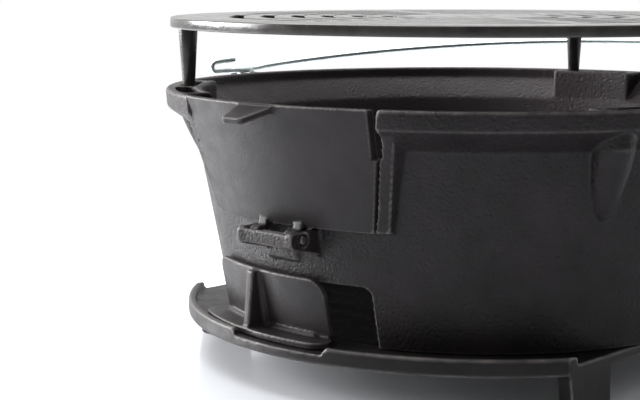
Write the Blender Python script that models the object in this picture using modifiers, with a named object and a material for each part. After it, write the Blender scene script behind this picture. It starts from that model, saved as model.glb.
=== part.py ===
"""Cast iron fire grill, built as separate castings with their real joints.

A round fire bowl stands on a four-footed base plate. A fuel door hinges at the front, a draft
slider runs round the foot of the bowl below it, a coal grate lies on a ledge inside, and a
grill grate on three legs stands in stepped sockets at the rim. A wire bail swings over the top.

Metres, +Z up. The origin is on the floor under the bowl's axis, and the door faces -Y.
Angles are in degrees round +Z, so the front is at 270.
"""

from math import ceil, cos, degrees, pi, radians, sin, sqrt

import bmesh
import bpy
from mathutils import Matrix, Vector

# Overall
SEAT_GAP = 0.0003
STEPS = 96
FRONT = 270.0

# Base plate
FOOT_HEIGHT = 0.021
PLATE_THICK = 0.005
PLATE_SHELF = 0.0237
PLATE_LIP_THICK = 0.004
PLATE_LIP_HEIGHT = 0.004
FLAT_SIDE_DEPTH = 0.029
FOOT_THICK = 0.0085
FOOT_INNER_Y = 0.054
FOOT_OUTER_Y = 0.0905
FOOT_TAPER = 0.004
FOOT_RIB_LENGTH = 0.024
FOOT_RIB_THICK = 0.006
NOTCH_HALF = 0.0295
NOTCH_RAMP = 0.0025
LOCATING_RING_HEIGHT = 0.0035
LOCATING_RING_WIDTH = 0.003
LOCATING_PLAY = 0.0009

# Fire bowl
BOWL_HEIGHT = 0.1187
BAND_RADIUS = 0.168
BAND_HEIGHT = 0.0095
BAND_WALL = 0.005
BAND_DRAFT = 0.0008
BAND_LIP_DROP = 0.0055
BEVEL_DROP = 0.0105
BAND_OVERHANG = 0.0158
WALL_TAPER = 0.0189
WALL_THICK = 0.005
LEDGE_HEIGHT = 0.0415
LEDGE_THICK = 0.0045
LEDGE_WIDTH = 0.0065
EDGE_BREAK = 0.0008

# Leg sockets in the rim: a high seat under each leg and a deeper seat one short turn away
FIRST_LEG_ANGLE = 103.5
LEG_NAMES = ("back", "left", "right")
SEAT_TURN = 11.5
SEAT_INSET = 0.0113
TROUGH_WIDTH = 0.0098
HIGH_SEAT_DEPTH = 0.0020
LOW_SEAT_DEPTH = 0.0255
WELL_STEP = 0.0004
SOCKET_WALL = 0.0034
SOCKET_END = 4.0
LOBE_LENGTH = 0.0350
LOBE_HALF_WIDTH = 0.0100
LOBE_TAPER = 0.55
HOLLOW_DEPTH = 0.0088
HOLLOW_WIDTH = 0.0108
HOLLOW_INSET = 0.0107
HOLLOW_START = 2.3
HOLLOW_END = 18.6

# Fuel door and its frame
DOOR_FOOT_Z = 0.0855
DOOR_STANDOFF = 0.00546
DOOR_THICK = 0.005
DOOR_FOOT_HALF = 0.0512
DOOR_SHOULDER_HALF = 0.0596
DOOR_SHOULDER_Z = 0.1210
DOOR_SHOULDER_STEP = 0.0020
DOOR_TOP_HALF = 0.0602
DOOR_GAP = 0.0006
DOOR_SLOT_RIGHT = 0.0044
DOOR_SLOT_LEFT = 0.0010
SILL_OVERLAP = 0.005
JAMB_WIDTH = 0.0062
JAMB_SETBACK = 0.0010
TAB_REACH = 0.0165
TAB_ROOT_HALF = 0.0123
TAB_TIP_HALF = 0.0060
TAB_THICK = 0.0034
TAB_SLOPE = 17.0

# Door hinge
PIN_RADIUS = 0.0022
PIN_PLAY = 0.0003
PIN_OUTSET = 0.0044
PIN_Z = 0.0805
PIN_OVERHANG = 0.0014
CHEEK_INNER_X = 0.0150
CHEEK_THICK = 0.0034
CHEEK_REACH = 0.0080
CHEEK_RISE = 0.0036
CHEEK_DROP = 0.0058
BAR_THICK = 0.0034
BAR_RISE = 0.0021
BAR_DROP = 0.0040
LUG_RADIUS = 0.0041
LUG_WIDTH = 0.0054
LUG_SIDE_GAP = 0.0006
LUG_ROOT_RISE = 0.0090
LUG_NECK_SETBACK = 0.0034
LUG_NECK_RISE = 0.0060
PAD_PROUD = 0.0016
PAD_HEIGHT = 0.0064
PAD_RIGHT_X = 0.0040

# Draft opening and slider
DRAFT_HALF = 0.0422
DRAFT_TOP_Z = 0.0570
DRAFT_CORNER = 0.0045
SLIDER_HALF_ANGLE = 19.0
SLIDER_REST_TURN = -11.0
SLIDER_TOP_Z = 0.0590
SLIDER_THICK = 0.0030
SLIDER_GAP = 0.0011
SLIDER_CORNER = 0.0085
RUNNER_THICK = 0.0032
RUNNER_LIP_GAP = 0.0020
RUNNER_HALF_ANGLE = 20.5
FIN_THICK = 0.0050
FIN_TOP_REACH = 0.0036

# Grates
COAL_GRATE_PLAY = 0.0020
COAL_GRATE_THICK = 0.0060
COAL_SLOT_WIDTH = 0.0090
COAL_SLOT_PITCH = 0.0180
COAL_RIM_WIDTH = 0.0120
COAL_RIB_WIDTH = 0.0080
GRATE_OVERHANG = 0.0090
GRATE_THICK = 0.0053
GRATE_RISE = 0.0323
RING_SLOT_WIDTH = 0.0080
RING_SLOT_PITCH = 0.0166
GRATE_RIM_WIDTH = 0.0354
RING_SLOT_ROWS = 6
SPOKES = 6
SPOKE_WIDTH = 0.0090

# Grate legs
LEG_INSET = 0.0007
LEG_TOP_RADIUS = 0.0053
LEG_FOOT_RADIUS = 0.0033
LEG_STUD_RADIUS = 0.0030
LEG_STUD_LENGTH = 0.0036
LEG_STUD_PLAY = 0.0003

# Bail and its spigots
WIRE_RADIUS = 0.0016
BAIL_SIDE_PLAY = 0.0132
BAIL_END_PLAY = 0.0185
BAIL_TILT = 5.3
EYE_PITCH = 0.0040
EYE_PLAY = 0.0004
SPIGOT_RADIUS = 0.0030
SPIGOT_BOSS_RADIUS = 0.0040
SPIGOT_BOSS_PLAY = 0.0011
SPIGOT_HEAD_PLAY = 0.0040
SPIGOT_HEAD_RADIUS = 0.0052
SPIGOT_HEAD_THICK = 0.0024
WIRE_ABOVE_RIM = 0.0010
HOOK_FORWARD = 0.0280
HOOK_RISE = 0.0058
HOOK_TAIL = 0.0155

# Heights and radii that follow from the sizes above
PLATE_TOP_Z = FOOT_HEIGHT + PLATE_THICK
BOWL_FOOT_Z = PLATE_TOP_Z + SEAT_GAP
RIM_Z = BOWL_FOOT_Z + BOWL_HEIGHT
WALL_TOP_Z = RIM_Z - BAND_HEIGHT - BEVEL_DROP
BAND_INNER_RADIUS = BAND_RADIUS - BAND_WALL
WALL_TOP_RADIUS = BAND_RADIUS - BAND_OVERHANG
WALL_FOOT_RADIUS = WALL_TOP_RADIUS - WALL_TAPER
PLATE_RADIUS = WALL_FOOT_RADIUS + PLATE_SHELF
FLAT_SIDE_X = PLATE_RADIUS - FLAT_SIDE_DEPTH
RUNNER_RADIUS = PLATE_RADIUS - PLATE_LIP_THICK - RUNNER_LIP_GAP
SEAT_RADIUS = BAND_RADIUS - SEAT_INSET
HOLLOW_RADIUS = BAND_RADIUS - HOLLOW_INSET
LEG_CIRCLE_RADIUS = SEAT_RADIUS - LEG_INSET
GRATE_RADIUS = LEG_CIRCLE_RADIUS + GRATE_OVERHANG
RING_SLOT_OUTER = GRATE_RADIUS - GRATE_RIM_WIDTH
BAIL_HALF_WIDTH = BAND_RADIUS + BAIL_SIDE_PLAY
BAIL_REACH = BAND_RADIUS + BAIL_END_PLAY
SPIGOT_BOSS_END = BAIL_HALF_WIDTH - EYE_PITCH - WIRE_RADIUS - SPIGOT_BOSS_PLAY
SPIGOT_END = BAIL_HALF_WIDTH + WIRE_RADIUS + SPIGOT_HEAD_PLAY
FRONT_NEAR_Y = -BAND_RADIUS - 0.04
FRONT_FAR_Y = -0.6 * WALL_FOOT_RADIUS
LEG_ANGLES = [FIRST_LEG_ANGLE + 120.0 * turn for turn in range(3)]
HOLLOW_LEG_ANGLE = LEG_ANGLES[LEG_NAMES.index("left")]
PIN_HOLE_RADIUS = PIN_RADIUS + PIN_PLAY
DOOR_SLOTS = (DOOR_SLOT_LEFT, DOOR_SLOT_RIGHT)
LEDGE_Z = BOWL_FOOT_Z + LEDGE_HEIGHT
HIGH_SEAT_Z = RIM_Z - HIGH_SEAT_DEPTH
LOW_SEAT_Z = RIM_Z - LOW_SEAT_DEPTH
GRATE_FOOT_Z = RIM_Z + GRATE_RISE
SPIGOT_Z = RIM_Z + WIRE_ABOVE_RIM - SPIGOT_RADIUS - EYE_PLAY - WIRE_RADIUS


def wall_radius(z):
    """Outer radius of the bowl's tapered wall at height z."""
    share = (z - BOWL_FOOT_Z) / (WALL_TOP_Z - BOWL_FOOT_Z)
    return WALL_FOOT_RADIUS + (WALL_TOP_RADIUS - WALL_FOOT_RADIUS) * share


# The door's foot stands off the tapered wall, and the hinge pin stands off the door's foot
DOOR_FOOT_RADIUS = wall_radius(DOOR_FOOT_Z) + DOOR_STANDOFF
PIN_Y = -DOOR_FOOT_RADIUS - PIN_OUTSET


def door_radius(z):
    """Outer radius of the fuel door at height z; it meets the band at the rim."""
    share = (z - DOOR_FOOT_Z) / (RIM_Z - DOOR_FOOT_Z)
    return DOOR_FOOT_RADIUS + (BAND_RADIUS - DOOR_FOOT_RADIUS) * share


def polar(radius, angle):
    """Point in plan at this radius and angle in degrees."""
    return radius * cos(radians(angle)), radius * sin(radians(angle))


def arc(radius, start, end, pieces, centre=(0.0, 0.0)):
    """Points along an arc of a circle, both ends included."""
    points = []
    for i in range(pieces + 1):
        x, y = polar(radius, start + (end - start) * i / pieces)
        points.append((centre[0] + x, centre[1] + y))
    return points


def sector_outline(inner, outer, start, end, pieces=8):
    """Outline of a ring sector in plan."""
    return arc(outer, start, end, pieces) + arc(inner, end, start, pieces)


def slot_outline(radius, half_width, start, end, pieces, cap_pieces=3):
    """Outline of a curved slot with round ends, whose end centres lie at start and end."""
    points = arc(radius + half_width, start, end, pieces)
    points += arc(half_width, end, end + 180.0, cap_pieces * 2, polar(radius, end))[1:-1]
    points += arc(radius - half_width, end, start, pieces)
    points += arc(half_width, start + 180.0, start + 360.0, cap_pieces * 2, polar(radius, start))[1:-1]
    return points


def clear_scene():
    """Remove every object and the collections this script makes."""
    for thing in list(bpy.data.objects):
        bpy.data.objects.remove(thing, do_unlink=True)
    for name in ("fire_grill", "fire_grill_cutters"):
        old = bpy.data.collections.get(name)
        if old:
            bpy.data.collections.remove(old)


def new_collection(name):
    """Collection linked under the scene."""
    made = bpy.data.collections.new(name)
    bpy.context.scene.collection.children.link(made)
    return made


def finish(name, colour, roughness, metallic):
    """Principled material with a plain colour."""
    made = bpy.data.materials.new(name)
    made.use_nodes = True
    shader = made.node_tree.nodes["Principled BSDF"]
    shader.inputs["Base Color"].default_value = (*colour, 1.0)
    shader.inputs["Roughness"].default_value = roughness
    shader.inputs["Metallic"].default_value = metallic
    made.diffuse_color = (*colour, 1.0)
    return made


def mesh_object(name, mesh, collection):
    """Object that holds a mesh, linked to a collection."""
    made = bpy.data.objects.new(name, mesh)
    collection.objects.link(made)
    return made


def baked(thing):
    """Replace an object by a mesh object of its evaluated shape, closed and facing out."""
    view = bpy.context.evaluated_depsgraph_get()
    view.update()
    mesh = bpy.data.meshes.new_from_object(thing.evaluated_get(view))
    mesh.transform(thing.matrix_world)
    shape = bmesh.new()
    shape.from_mesh(mesh)
    bmesh.ops.remove_doubles(shape, verts=shape.verts, dist=0.000002)
    bmesh.ops.recalc_face_normals(shape, faces=shape.faces)
    shape.to_mesh(mesh)
    shape.free()
    name = thing.name
    home = thing.users_collection[0]
    bpy.data.objects.remove(thing, do_unlink=True)
    made = mesh_object(name, mesh, home)
    mesh.shade_smooth()
    mesh.set_sharp_from_angle(angle=radians(35))
    return made


def slab(name, outlines, low, high, along="Z"):
    """Solid between two planes, from flat outlines: the first is the edge, the others are holes.

    Along Z the outline is in X and Y, along Y in X and Z, and along X in Y and Z.
    """
    curve = bpy.data.curves.new(name, "CURVE")
    curve.dimensions = "2D"
    curve.fill_mode = "BOTH"
    curve.extrude = (high - low) / 2.0
    for outline in outlines:
        spline = curve.splines.new("POLY")
        spline.points.add(len(outline) - 1)
        spline.use_cyclic_u = True
        for point, (u, v) in zip(spline.points, outline):
            point.co = (u, v, 0.0, 1.0)
    made = bpy.data.objects.new(name, curve)
    CUTTERS.objects.link(made)
    middle = (low + high) / 2.0
    if along == "Z":
        made.matrix_world = Matrix.Translation((0.0, 0.0, middle))
    elif along == "Y":
        made.matrix_world = Matrix.Translation((0.0, middle, 0.0)) @ Matrix.Rotation(pi / 2.0, 4, "X")
    else:
        turn = Matrix(((0, 0, 1, 0), (1, 0, 0, 0), (0, 1, 0, 0), (0, 0, 0, 1)))
        made.matrix_world = Matrix.Translation((middle, 0.0, 0.0)) @ turn
    return baked(made)


def turned(name, profile, steps=STEPS):
    """Solid of revolution round Z from a closed profile of radius and height, outer side first."""
    mesh = bpy.data.meshes.new(name)
    corners = [(radius, 0.0, z) for radius, z in profile]
    on_axis = abs(profile[0][0]) < 1e-9 and abs(profile[-1][0]) < 1e-9
    count = len(corners)
    edges = [(i, i + 1) for i in range(count - 1)]
    if not on_axis:
        edges.append((count - 1, 0))
    mesh.from_pydata(corners, edges, [])
    made = mesh_object(name, mesh, CUTTERS)
    screw = made.modifiers.new("Turn", "SCREW")
    screw.steps = steps
    screw.render_steps = steps
    screw.use_merge_vertices = True
    screw.merge_threshold = 0.00001
    return baked(made)


def merged(name, pieces):
    """One object holding the meshes of several that don't touch."""
    shape = bmesh.new()
    for piece in pieces:
        shape.from_mesh(piece.data)
        bpy.data.objects.remove(piece, do_unlink=True)
    mesh = bpy.data.meshes.new(name)
    shape.to_mesh(mesh)
    shape.free()
    return mesh_object(name, mesh, CUTTERS)


def combine(target, other, operation):
    """Boolean modifier on the target, with the other object kept as a hidden guide."""
    step = target.modifiers.new(other.name, "BOOLEAN")
    step.object = other
    step.operation = operation
    step.solver = "EXACT"
    other.hide_render = True
    other.display_type = "WIRE"


def join(target, *others):
    """Weld other solids onto the target."""
    for other in others:
        combine(target, other, "UNION")


def cut(target, *others):
    """Cut other solids out of the target."""
    for other in others:
        combine(target, other, "DIFFERENCE")


def part(name, shape, material, pivot=None):
    """Move a finished shape into the parts collection under its node name.

    A moving piece is parented to an empty on its joint's axis.
    """
    shape.name = name
    shape.data.name = name
    for home in list(shape.users_collection):
        home.objects.unlink(shape)
    PARTS.objects.link(shape)
    shape.data.materials.clear()
    shape.data.materials.append(material)
    if pivot is not None:
        axis = bpy.data.objects.new(name + "_axis", None)
        axis.empty_display_size = 0.02
        axis.location = pivot
        PARTS.objects.link(axis)
        shape.parent = axis
        shape.matrix_parent_inverse = Matrix.Translation(-Vector(pivot))
    return shape


def rotated(shape, angle, axis="Z", centre=(0.0, 0.0, 0.0)):
    """Turn a shape's mesh about an axis through a point, angle in degrees."""
    place = Matrix.Translation(centre)
    shape.data.transform(place @ Matrix.Rotation(radians(angle), 4, axis) @ place.inverted())
    return shape


def mirrored(points):
    """Outline closed with its own mirror image in the second axis."""
    return points + [(-u, v) for u, v in reversed(points)]


# Base plate


def make_base_plate():
    """Round dish with two flat sides, an upturned lip, four feet and a ring that locates the bowl."""
    lip_inner = PLATE_RADIUS - PLATE_LIP_THICK
    lip_top = PLATE_TOP_Z + PLATE_LIP_HEIGHT
    ring_outer = WALL_FOOT_RADIUS - WALL_THICK - LOCATING_PLAY
    ring_inner = ring_outer - LOCATING_RING_WIDTH
    ring_top = PLATE_TOP_Z + LOCATING_RING_HEIGHT
    plate = turned("plate", [
        (0.0, PLATE_TOP_Z),
        (ring_inner, PLATE_TOP_Z),
        (ring_inner, ring_top),
        (ring_outer, ring_top),
        (ring_outer, PLATE_TOP_Z),
        (lip_inner, PLATE_TOP_Z),
        (lip_inner, lip_top - EDGE_BREAK),
        (lip_inner + EDGE_BREAK, lip_top),
        (PLATE_RADIUS - EDGE_BREAK, lip_top),
        (PLATE_RADIUS, lip_top - EDGE_BREAK),
        (PLATE_RADIUS, FOOT_HEIGHT + EDGE_BREAK),
        (PLATE_RADIUS - EDGE_BREAK, FOOT_HEIGHT),
        (0.0, FOOT_HEIGHT),
    ])
    feet = []
    root_z = FOOT_HEIGHT + PLATE_THICK / 2.0
    for side in (-1, 1):
        for end in (-1, 1):
            outline = [
                (end * FOOT_INNER_Y, root_z),
                (end * FOOT_OUTER_Y, root_z),
                (end * (FOOT_OUTER_Y - FOOT_TAPER), 0.0),
                (end * (FOOT_INNER_Y + FOOT_TAPER / 2.0), 0.0),
            ]
            inner_x = side * (FLAT_SIDE_X - FOOT_THICK)
            outer_x = side * (FLAT_SIDE_X + PLATE_THICK)
            feet.append(slab("foot", [outline], min(inner_x, outer_x), max(inner_x, outer_x), "X"))
    ribs = []
    middle_y = (FOOT_INNER_Y + FOOT_OUTER_Y) / 2.0
    for side in (-1, 1):
        for end in (-1, 1):
            root_x = side * (FLAT_SIDE_X - FOOT_THICK / 2.0)
            outline = [
                (root_x, root_z),
                (root_x, FOOT_TAPER),
                (root_x - side * FOOT_RIB_LENGTH, root_z),
            ]
            low = end * middle_y - FOOT_RIB_THICK / 2.0
            ribs.append(slab("rib", [outline], low, low + FOOT_RIB_THICK, "Y"))
    join(plate, merged("plate_feet", feet), merged("plate_ribs", ribs))
    trims = []
    for side in (-1, 1):
        inner_x = side * FLAT_SIDE_X
        outer_x = side * (PLATE_RADIUS + 0.01)
        edge = [(-PLATE_RADIUS, -0.01), (PLATE_RADIUS, -0.01), (PLATE_RADIUS, 0.05), (-PLATE_RADIUS, 0.05)]
        trims.append(slab("trim", [edge], min(inner_x, outer_x), max(inner_x, outer_x), "X"))
    notch = slab("plate_notch", [[
        (-NOTCH_HALF, PLATE_TOP_Z + EDGE_BREAK / 4.0),
        (NOTCH_HALF, PLATE_TOP_Z + EDGE_BREAK / 4.0),
        (NOTCH_HALF + NOTCH_RAMP * 1.5, lip_top + NOTCH_RAMP),
        (-NOTCH_HALF - NOTCH_RAMP * 1.5, lip_top + NOTCH_RAMP),
    ]], -PLATE_RADIUS - 0.01, -lip_inner + 0.012, "Y")
    rake_way = slab("plate_rake_way", [[
        (-DRAFT_HALF, PLATE_TOP_Z + EDGE_BREAK / 4.0),
        (DRAFT_HALF, PLATE_TOP_Z + EDGE_BREAK / 4.0),
        (DRAFT_HALF, ring_top + 0.002),
        (-DRAFT_HALF, ring_top + 0.002),
    ]], -ring_outer - LOCATING_RING_WIDTH, FRONT_FAR_Y, "Y")
    cut(plate, merged("plate_flat_sides", trims), notch, rake_way)
    return part("base_plate", plate, IRON)


# Fire bowl


def bowl_shell():
    """Turned wall with its band, bevel and inner ledge."""
    inner_foot = WALL_FOOT_RADIUS - WALL_THICK
    flare_z = WALL_TOP_Z + 0.0015
    ledge_foot_z = LEDGE_Z - LEDGE_THICK
    ledge_radius = wall_radius(LEDGE_Z) - WALL_THICK - LEDGE_WIDTH
    band_foot_z = RIM_Z - BAND_HEIGHT
    return turned("bowl", [
        (BAND_RADIUS - EDGE_BREAK, RIM_Z),
        (BAND_RADIUS, RIM_Z - EDGE_BREAK),
        (BAND_RADIUS - BAND_DRAFT, band_foot_z + 2.0 * EDGE_BREAK),
        (BAND_RADIUS - BAND_DRAFT - 1.5 * EDGE_BREAK, band_foot_z),
        (WALL_TOP_RADIUS + 1.5 * EDGE_BREAK, WALL_TOP_Z + EDGE_BREAK),
        (WALL_TOP_RADIUS, WALL_TOP_Z),
        (WALL_FOOT_RADIUS, BOWL_FOOT_Z),
        (inner_foot, BOWL_FOOT_Z),
        (wall_radius(ledge_foot_z - LEDGE_WIDTH) - WALL_THICK, ledge_foot_z - LEDGE_WIDTH),
        (ledge_radius, ledge_foot_z),
        (ledge_radius, LEDGE_Z),
        (wall_radius(LEDGE_Z) - WALL_THICK, LEDGE_Z),
        (wall_radius(flare_z) - WALL_THICK, flare_z),
        (BAND_INNER_RADIUS, RIM_Z - BAND_LIP_DROP),
        (BAND_INNER_RADIUS, RIM_Z - EDGE_BREAK),
        (BAND_INNER_RADIUS + EDGE_BREAK, RIM_Z),
    ])


def socket_blocks():
    """Filled stretches of the rim that hold the leg seats, with their inner retaining wall."""
    inner = SEAT_RADIUS - TROUGH_WIDTH / 2.0 - SOCKET_WALL
    outer = BAND_INNER_RADIUS + BAND_WALL / 2.0
    floor_z = WALL_TOP_Z - 0.003
    ring = turned("socket_blocks", [
        (outer, RIM_Z - EDGE_BREAK / 2.0),
        (outer, RIM_Z - BAND_HEIGHT),
        (WALL_TOP_RADIUS - 0.001, WALL_TOP_Z + 0.001),
        (wall_radius(floor_z) - 0.0015, floor_z),
        (inner, floor_z),
        (inner, RIM_Z - EDGE_BREAK / 2.0),
    ])
    rotated(ring, 180.0 / STEPS)
    wedges = []
    for angle in LEG_ANGLES:
        start = angle - SEAT_TURN - SOCKET_END
        end = angle + SOCKET_END
        if angle == HOLLOW_LEG_ANGLE:
            end += HOLLOW_END
        outline = sector_outline(inner - 0.01, outer + 0.01, start, end, 10)
        wedges.append(slab("wedge", [outline], floor_z - 0.02, RIM_Z + 0.02))
    combine(ring, merged("socket_wedges", wedges), "INTERSECT")
    return baked(ring)


def socket_troughs():
    """Curved troughs from the deep seat to the high seat, and the hollow beside the door frame."""
    troughs = []
    half = TROUGH_WIDTH / 2.0
    for angle in LEG_ANGLES:
        outline = slot_outline(SEAT_RADIUS, half, angle - SEAT_TURN, angle, 4)
        troughs.append(slab("trough", [outline], HIGH_SEAT_Z, RIM_Z + 0.01))
    return merged("socket_troughs", troughs)


def rim_hollow():
    """Long shallow hollow between the left leg's seat and the fuel door."""
    half = HOLLOW_WIDTH / 2.0
    inset = degrees(half / HOLLOW_RADIUS)
    start = HOLLOW_LEG_ANGLE + HOLLOW_START + inset
    end = HOLLOW_LEG_ANGLE + HOLLOW_END - inset
    outline = slot_outline(HOLLOW_RADIUS, half, start, end, 6)
    return slab("rim_hollow", [outline], RIM_Z - HOLLOW_DEPTH, RIM_Z + 0.012)


def deep_seats():
    """Round wells of the lower leg seats."""
    wells = []
    for angle in LEG_ANGLES:
        x, y = polar(SEAT_RADIUS, angle - SEAT_TURN)
        ring = arc(TROUGH_WIDTH / 2.0 + WELL_STEP, 0.0, 345.0, 23, (x, y))
        wells.append(slab("well", [ring], LOW_SEAT_Z, RIM_Z + 0.011))
    return merged("deep_seats", wells)


def seat_lobes():
    """Half-egg lobes that bulge from the wall under the deep seats, flat-backed inside the wall."""
    lobes = []
    reach = BAND_RADIUS - BAND_DRAFT - EDGE_BREAK - WALL_TOP_RADIUS
    root = WALL_THICK / 2.0 / reach
    middle_z = WALL_TOP_Z + EDGE_BREAK * 2.0
    wall_lean = (WALL_TOP_RADIUS - wall_radius(WALL_TOP_Z - LOBE_LENGTH)) / reach
    for angle in LEG_ANGLES:
        shape = bmesh.new()
        bmesh.ops.create_uvsphere(shape, u_segments=28, v_segments=18, radius=1.0)
        for corner in shape.verts:
            drop = max(-corner.co.z, 0.0)
            if corner.co.x < 0.0:
                corner.co.x *= root
            corner.co.x = corner.co.x * (1.0 - LOBE_TAPER * drop) - wall_lean * drop
        turn = Matrix.Rotation(radians(angle - SEAT_TURN), 4, "Z")
        place = Matrix.Translation((WALL_TOP_RADIUS, 0.0, middle_z))
        size = Matrix.Diagonal((reach, LOBE_HALF_WIDTH, LOBE_LENGTH, 1.0))
        shape.transform(turn @ place @ size)
        everything = shape.verts[:] + shape.edges[:] + shape.faces[:]
        level = (0.0, 0.0, RIM_Z - BAND_HEIGHT + EDGE_BREAK * 2.5)
        bmesh.ops.bisect_plane(shape, geom=everything, plane_co=level, plane_no=(0.0, 0.0, 1.0),
                               clear_outer=True)
        rim_edges = [edge for edge in shape.edges if edge.is_boundary]
        bmesh.ops.holes_fill(shape, edges=rim_edges)
        bmesh.ops.recalc_face_normals(shape, faces=shape.faces)
        mesh = bpy.data.meshes.new("lobe")
        shape.to_mesh(mesh)
        shape.free()
        lobes.append(mesh_object("lobe", mesh, CUTTERS))
    return merged("seat_lobes", lobes)


def door_side(grow, foot_z, slot):
    """One side of the door's front outline, from its foot to the rim; it widens to a shoulder."""
    step_z = DOOR_SHOULDER_Z + 2.0 * grow
    slope = (DOOR_SHOULDER_HALF - DOOR_FOOT_HALF) / (DOOR_SHOULDER_Z - DOOR_FOOT_Z)
    foot_half = DOOR_FOOT_HALF + slope * (foot_z - DOOR_FOOT_Z) + grow
    shoulder_half = DOOR_SHOULDER_HALF + slope * (step_z - DOOR_SHOULDER_Z) + grow
    neck_half = DOOR_SHOULDER_HALF - DOOR_SHOULDER_STEP + slot
    over = 0.004 if grow else -EDGE_BREAK / 8.0
    return [
        (foot_half, foot_z),
        (shoulder_half, step_z),
        (neck_half, step_z + abs(neck_half - shoulder_half) * 0.2),
        (DOOR_TOP_HALF + slot, RIM_Z + over),
    ]


def door_outline(grow, foot_z, slots=(0.0, 0.0)):
    """Front outline of the door, or of its way when grown, with a slot left and right of its neck."""
    left = door_side(grow, foot_z, slots[0])
    return door_side(grow, foot_z, slots[1]) + [(-x, z) for x, z in reversed(left)]


def door_frame():
    """Two upright jambs that carry the wall out to the door's edges."""
    top_z = RIM_Z - BAND_HEIGHT + 0.0015
    ring = turned("door_frame", [
        (door_radius(top_z) - JAMB_SETBACK, top_z),
        (door_radius(DOOR_FOOT_Z) - JAMB_SETBACK, DOOR_FOOT_Z),
        (wall_radius(DOOR_FOOT_Z) - WALL_THICK / 2.0, DOOR_FOOT_Z),
        (wall_radius(top_z) - WALL_THICK / 2.0, top_z),
    ])
    slots = [slot + JAMB_WIDTH / 2.0 for slot in DOOR_SLOTS]
    outer = door_outline(DOOR_GAP + JAMB_WIDTH, DOOR_FOOT_Z - 0.005, slots)
    blank = slab("frame_blank", [outer], FRONT_NEAR_Y, FRONT_FAR_Y, "Y")
    lower = door_side(DOOR_GAP / 2.0, DOOR_FOOT_Z - 0.01, 0.0)[:2]
    opening = slab("frame_opening", [mirrored(lower)], FRONT_NEAR_Y - 0.01, FRONT_FAR_Y + 0.01, "Y")
    combine(ring, blank, "INTERSECT")
    cut(ring, opening)
    return baked(ring)


def hinge_bracket():
    """Two cheeks and a front bar that carry the door's hinge pin."""
    back_y = -wall_radius(PIN_Z) + WALL_THICK * 0.7
    front_y = PIN_Y - CHEEK_REACH
    outline = [
        (back_y, PIN_Z - CHEEK_DROP - 0.004),
        (front_y + 0.002, PIN_Z - CHEEK_DROP + 0.001),
        (front_y, PIN_Z - CHEEK_DROP + 0.003),
        (front_y, PIN_Z + CHEEK_RISE - 0.001),
        (front_y + 0.001, PIN_Z + CHEEK_RISE),
        (back_y, PIN_Z + CHEEK_RISE),
    ]
    cheeks = []
    for side in (-1, 1):
        near = side * CHEEK_INNER_X
        far = side * (CHEEK_INNER_X + CHEEK_THICK)
        cheeks.append(slab("cheek", [outline], min(near, far), max(near, far), "X"))
    bracket = merged("hinge_cheeks", cheeks)
    bar = slab("hinge_bar", [[
        (front_y + 0.0004, PIN_Z - BAR_DROP),
        (front_y + BAR_THICK, PIN_Z - BAR_DROP),
        (front_y + BAR_THICK, PIN_Z + BAR_RISE),
        (front_y + 0.0004, PIN_Z + BAR_RISE),
    ]], -CHEEK_INNER_X - CHEEK_THICK / 2.0, CHEEK_INNER_X + CHEEK_THICK / 2.0, "X")
    return bracket, bar


def pin_holes():
    """Bore through both cheeks of the bracket."""
    length = CHEEK_INNER_X + CHEEK_THICK + 0.005
    ring = arc(PIN_HOLE_RADIUS, 0.0, 337.5, 15, (PIN_Y, PIN_Z))
    return slab("pin_holes", [ring], -length, length, "X")


def hinge_pad():
    """Low raised pad on the wall under the bracket."""
    top_z = PIN_Z - CHEEK_DROP - 0.0015
    foot_z = top_z - PAD_HEIGHT
    ring = turned("hinge_pad", [
        (wall_radius(top_z) + PAD_PROUD, top_z),
        (wall_radius(foot_z) + PAD_PROUD, foot_z),
        (wall_radius(foot_z) - WALL_THICK / 2.0, foot_z),
        (wall_radius(top_z) - WALL_THICK / 2.0, top_z),
    ])
    half = CHEEK_INNER_X + CHEEK_THICK
    window = slab("pad_window", [[(-half, foot_z - 0.01), (PAD_RIGHT_X, foot_z - 0.01),
                                  (PAD_RIGHT_X, top_z + 0.01), (-half, top_z + 0.01)]],
                  FRONT_NEAR_Y, FRONT_FAR_Y, "Y")
    combine(ring, window, "INTERSECT")
    return baked(ring)


def draft_outline(half, foot_z, top_z, corner):
    """Front outline of the draft opening, with round top corners."""
    points = [(half, foot_z)] + arc(corner, 0.0, 90.0, 5, (half - corner, top_z - corner))
    return mirrored(points)


def bail_spigots():
    """Two headed spigots on the band, on the bail's axis."""
    spigots = []
    for side in (-1, 1):
        head = SPIGOT_END
        tip = head + SPIGOT_HEAD_THICK
        spigot = turned("spigot", [
            (0.0, tip),
            (SPIGOT_HEAD_RADIUS - 0.0012, tip),
            (SPIGOT_HEAD_RADIUS, tip - 0.0012),
            (SPIGOT_HEAD_RADIUS, head),
            (SPIGOT_RADIUS, head),
            (SPIGOT_RADIUS, SPIGOT_BOSS_END),
            (SPIGOT_BOSS_RADIUS, SPIGOT_BOSS_END - 0.001),
            (SPIGOT_BOSS_RADIUS, BAND_INNER_RADIUS + BAND_WALL / 2.0),
            (0.0, BAND_INNER_RADIUS + BAND_WALL / 2.0),
        ], 24)
        rotated(spigot, 90.0 * side, "Y")
        spigot.data.transform(Matrix.Translation((0.0, 0.0, SPIGOT_Z)))
        spigots.append(spigot)
    return merged("bail_spigots", spigots)


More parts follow.
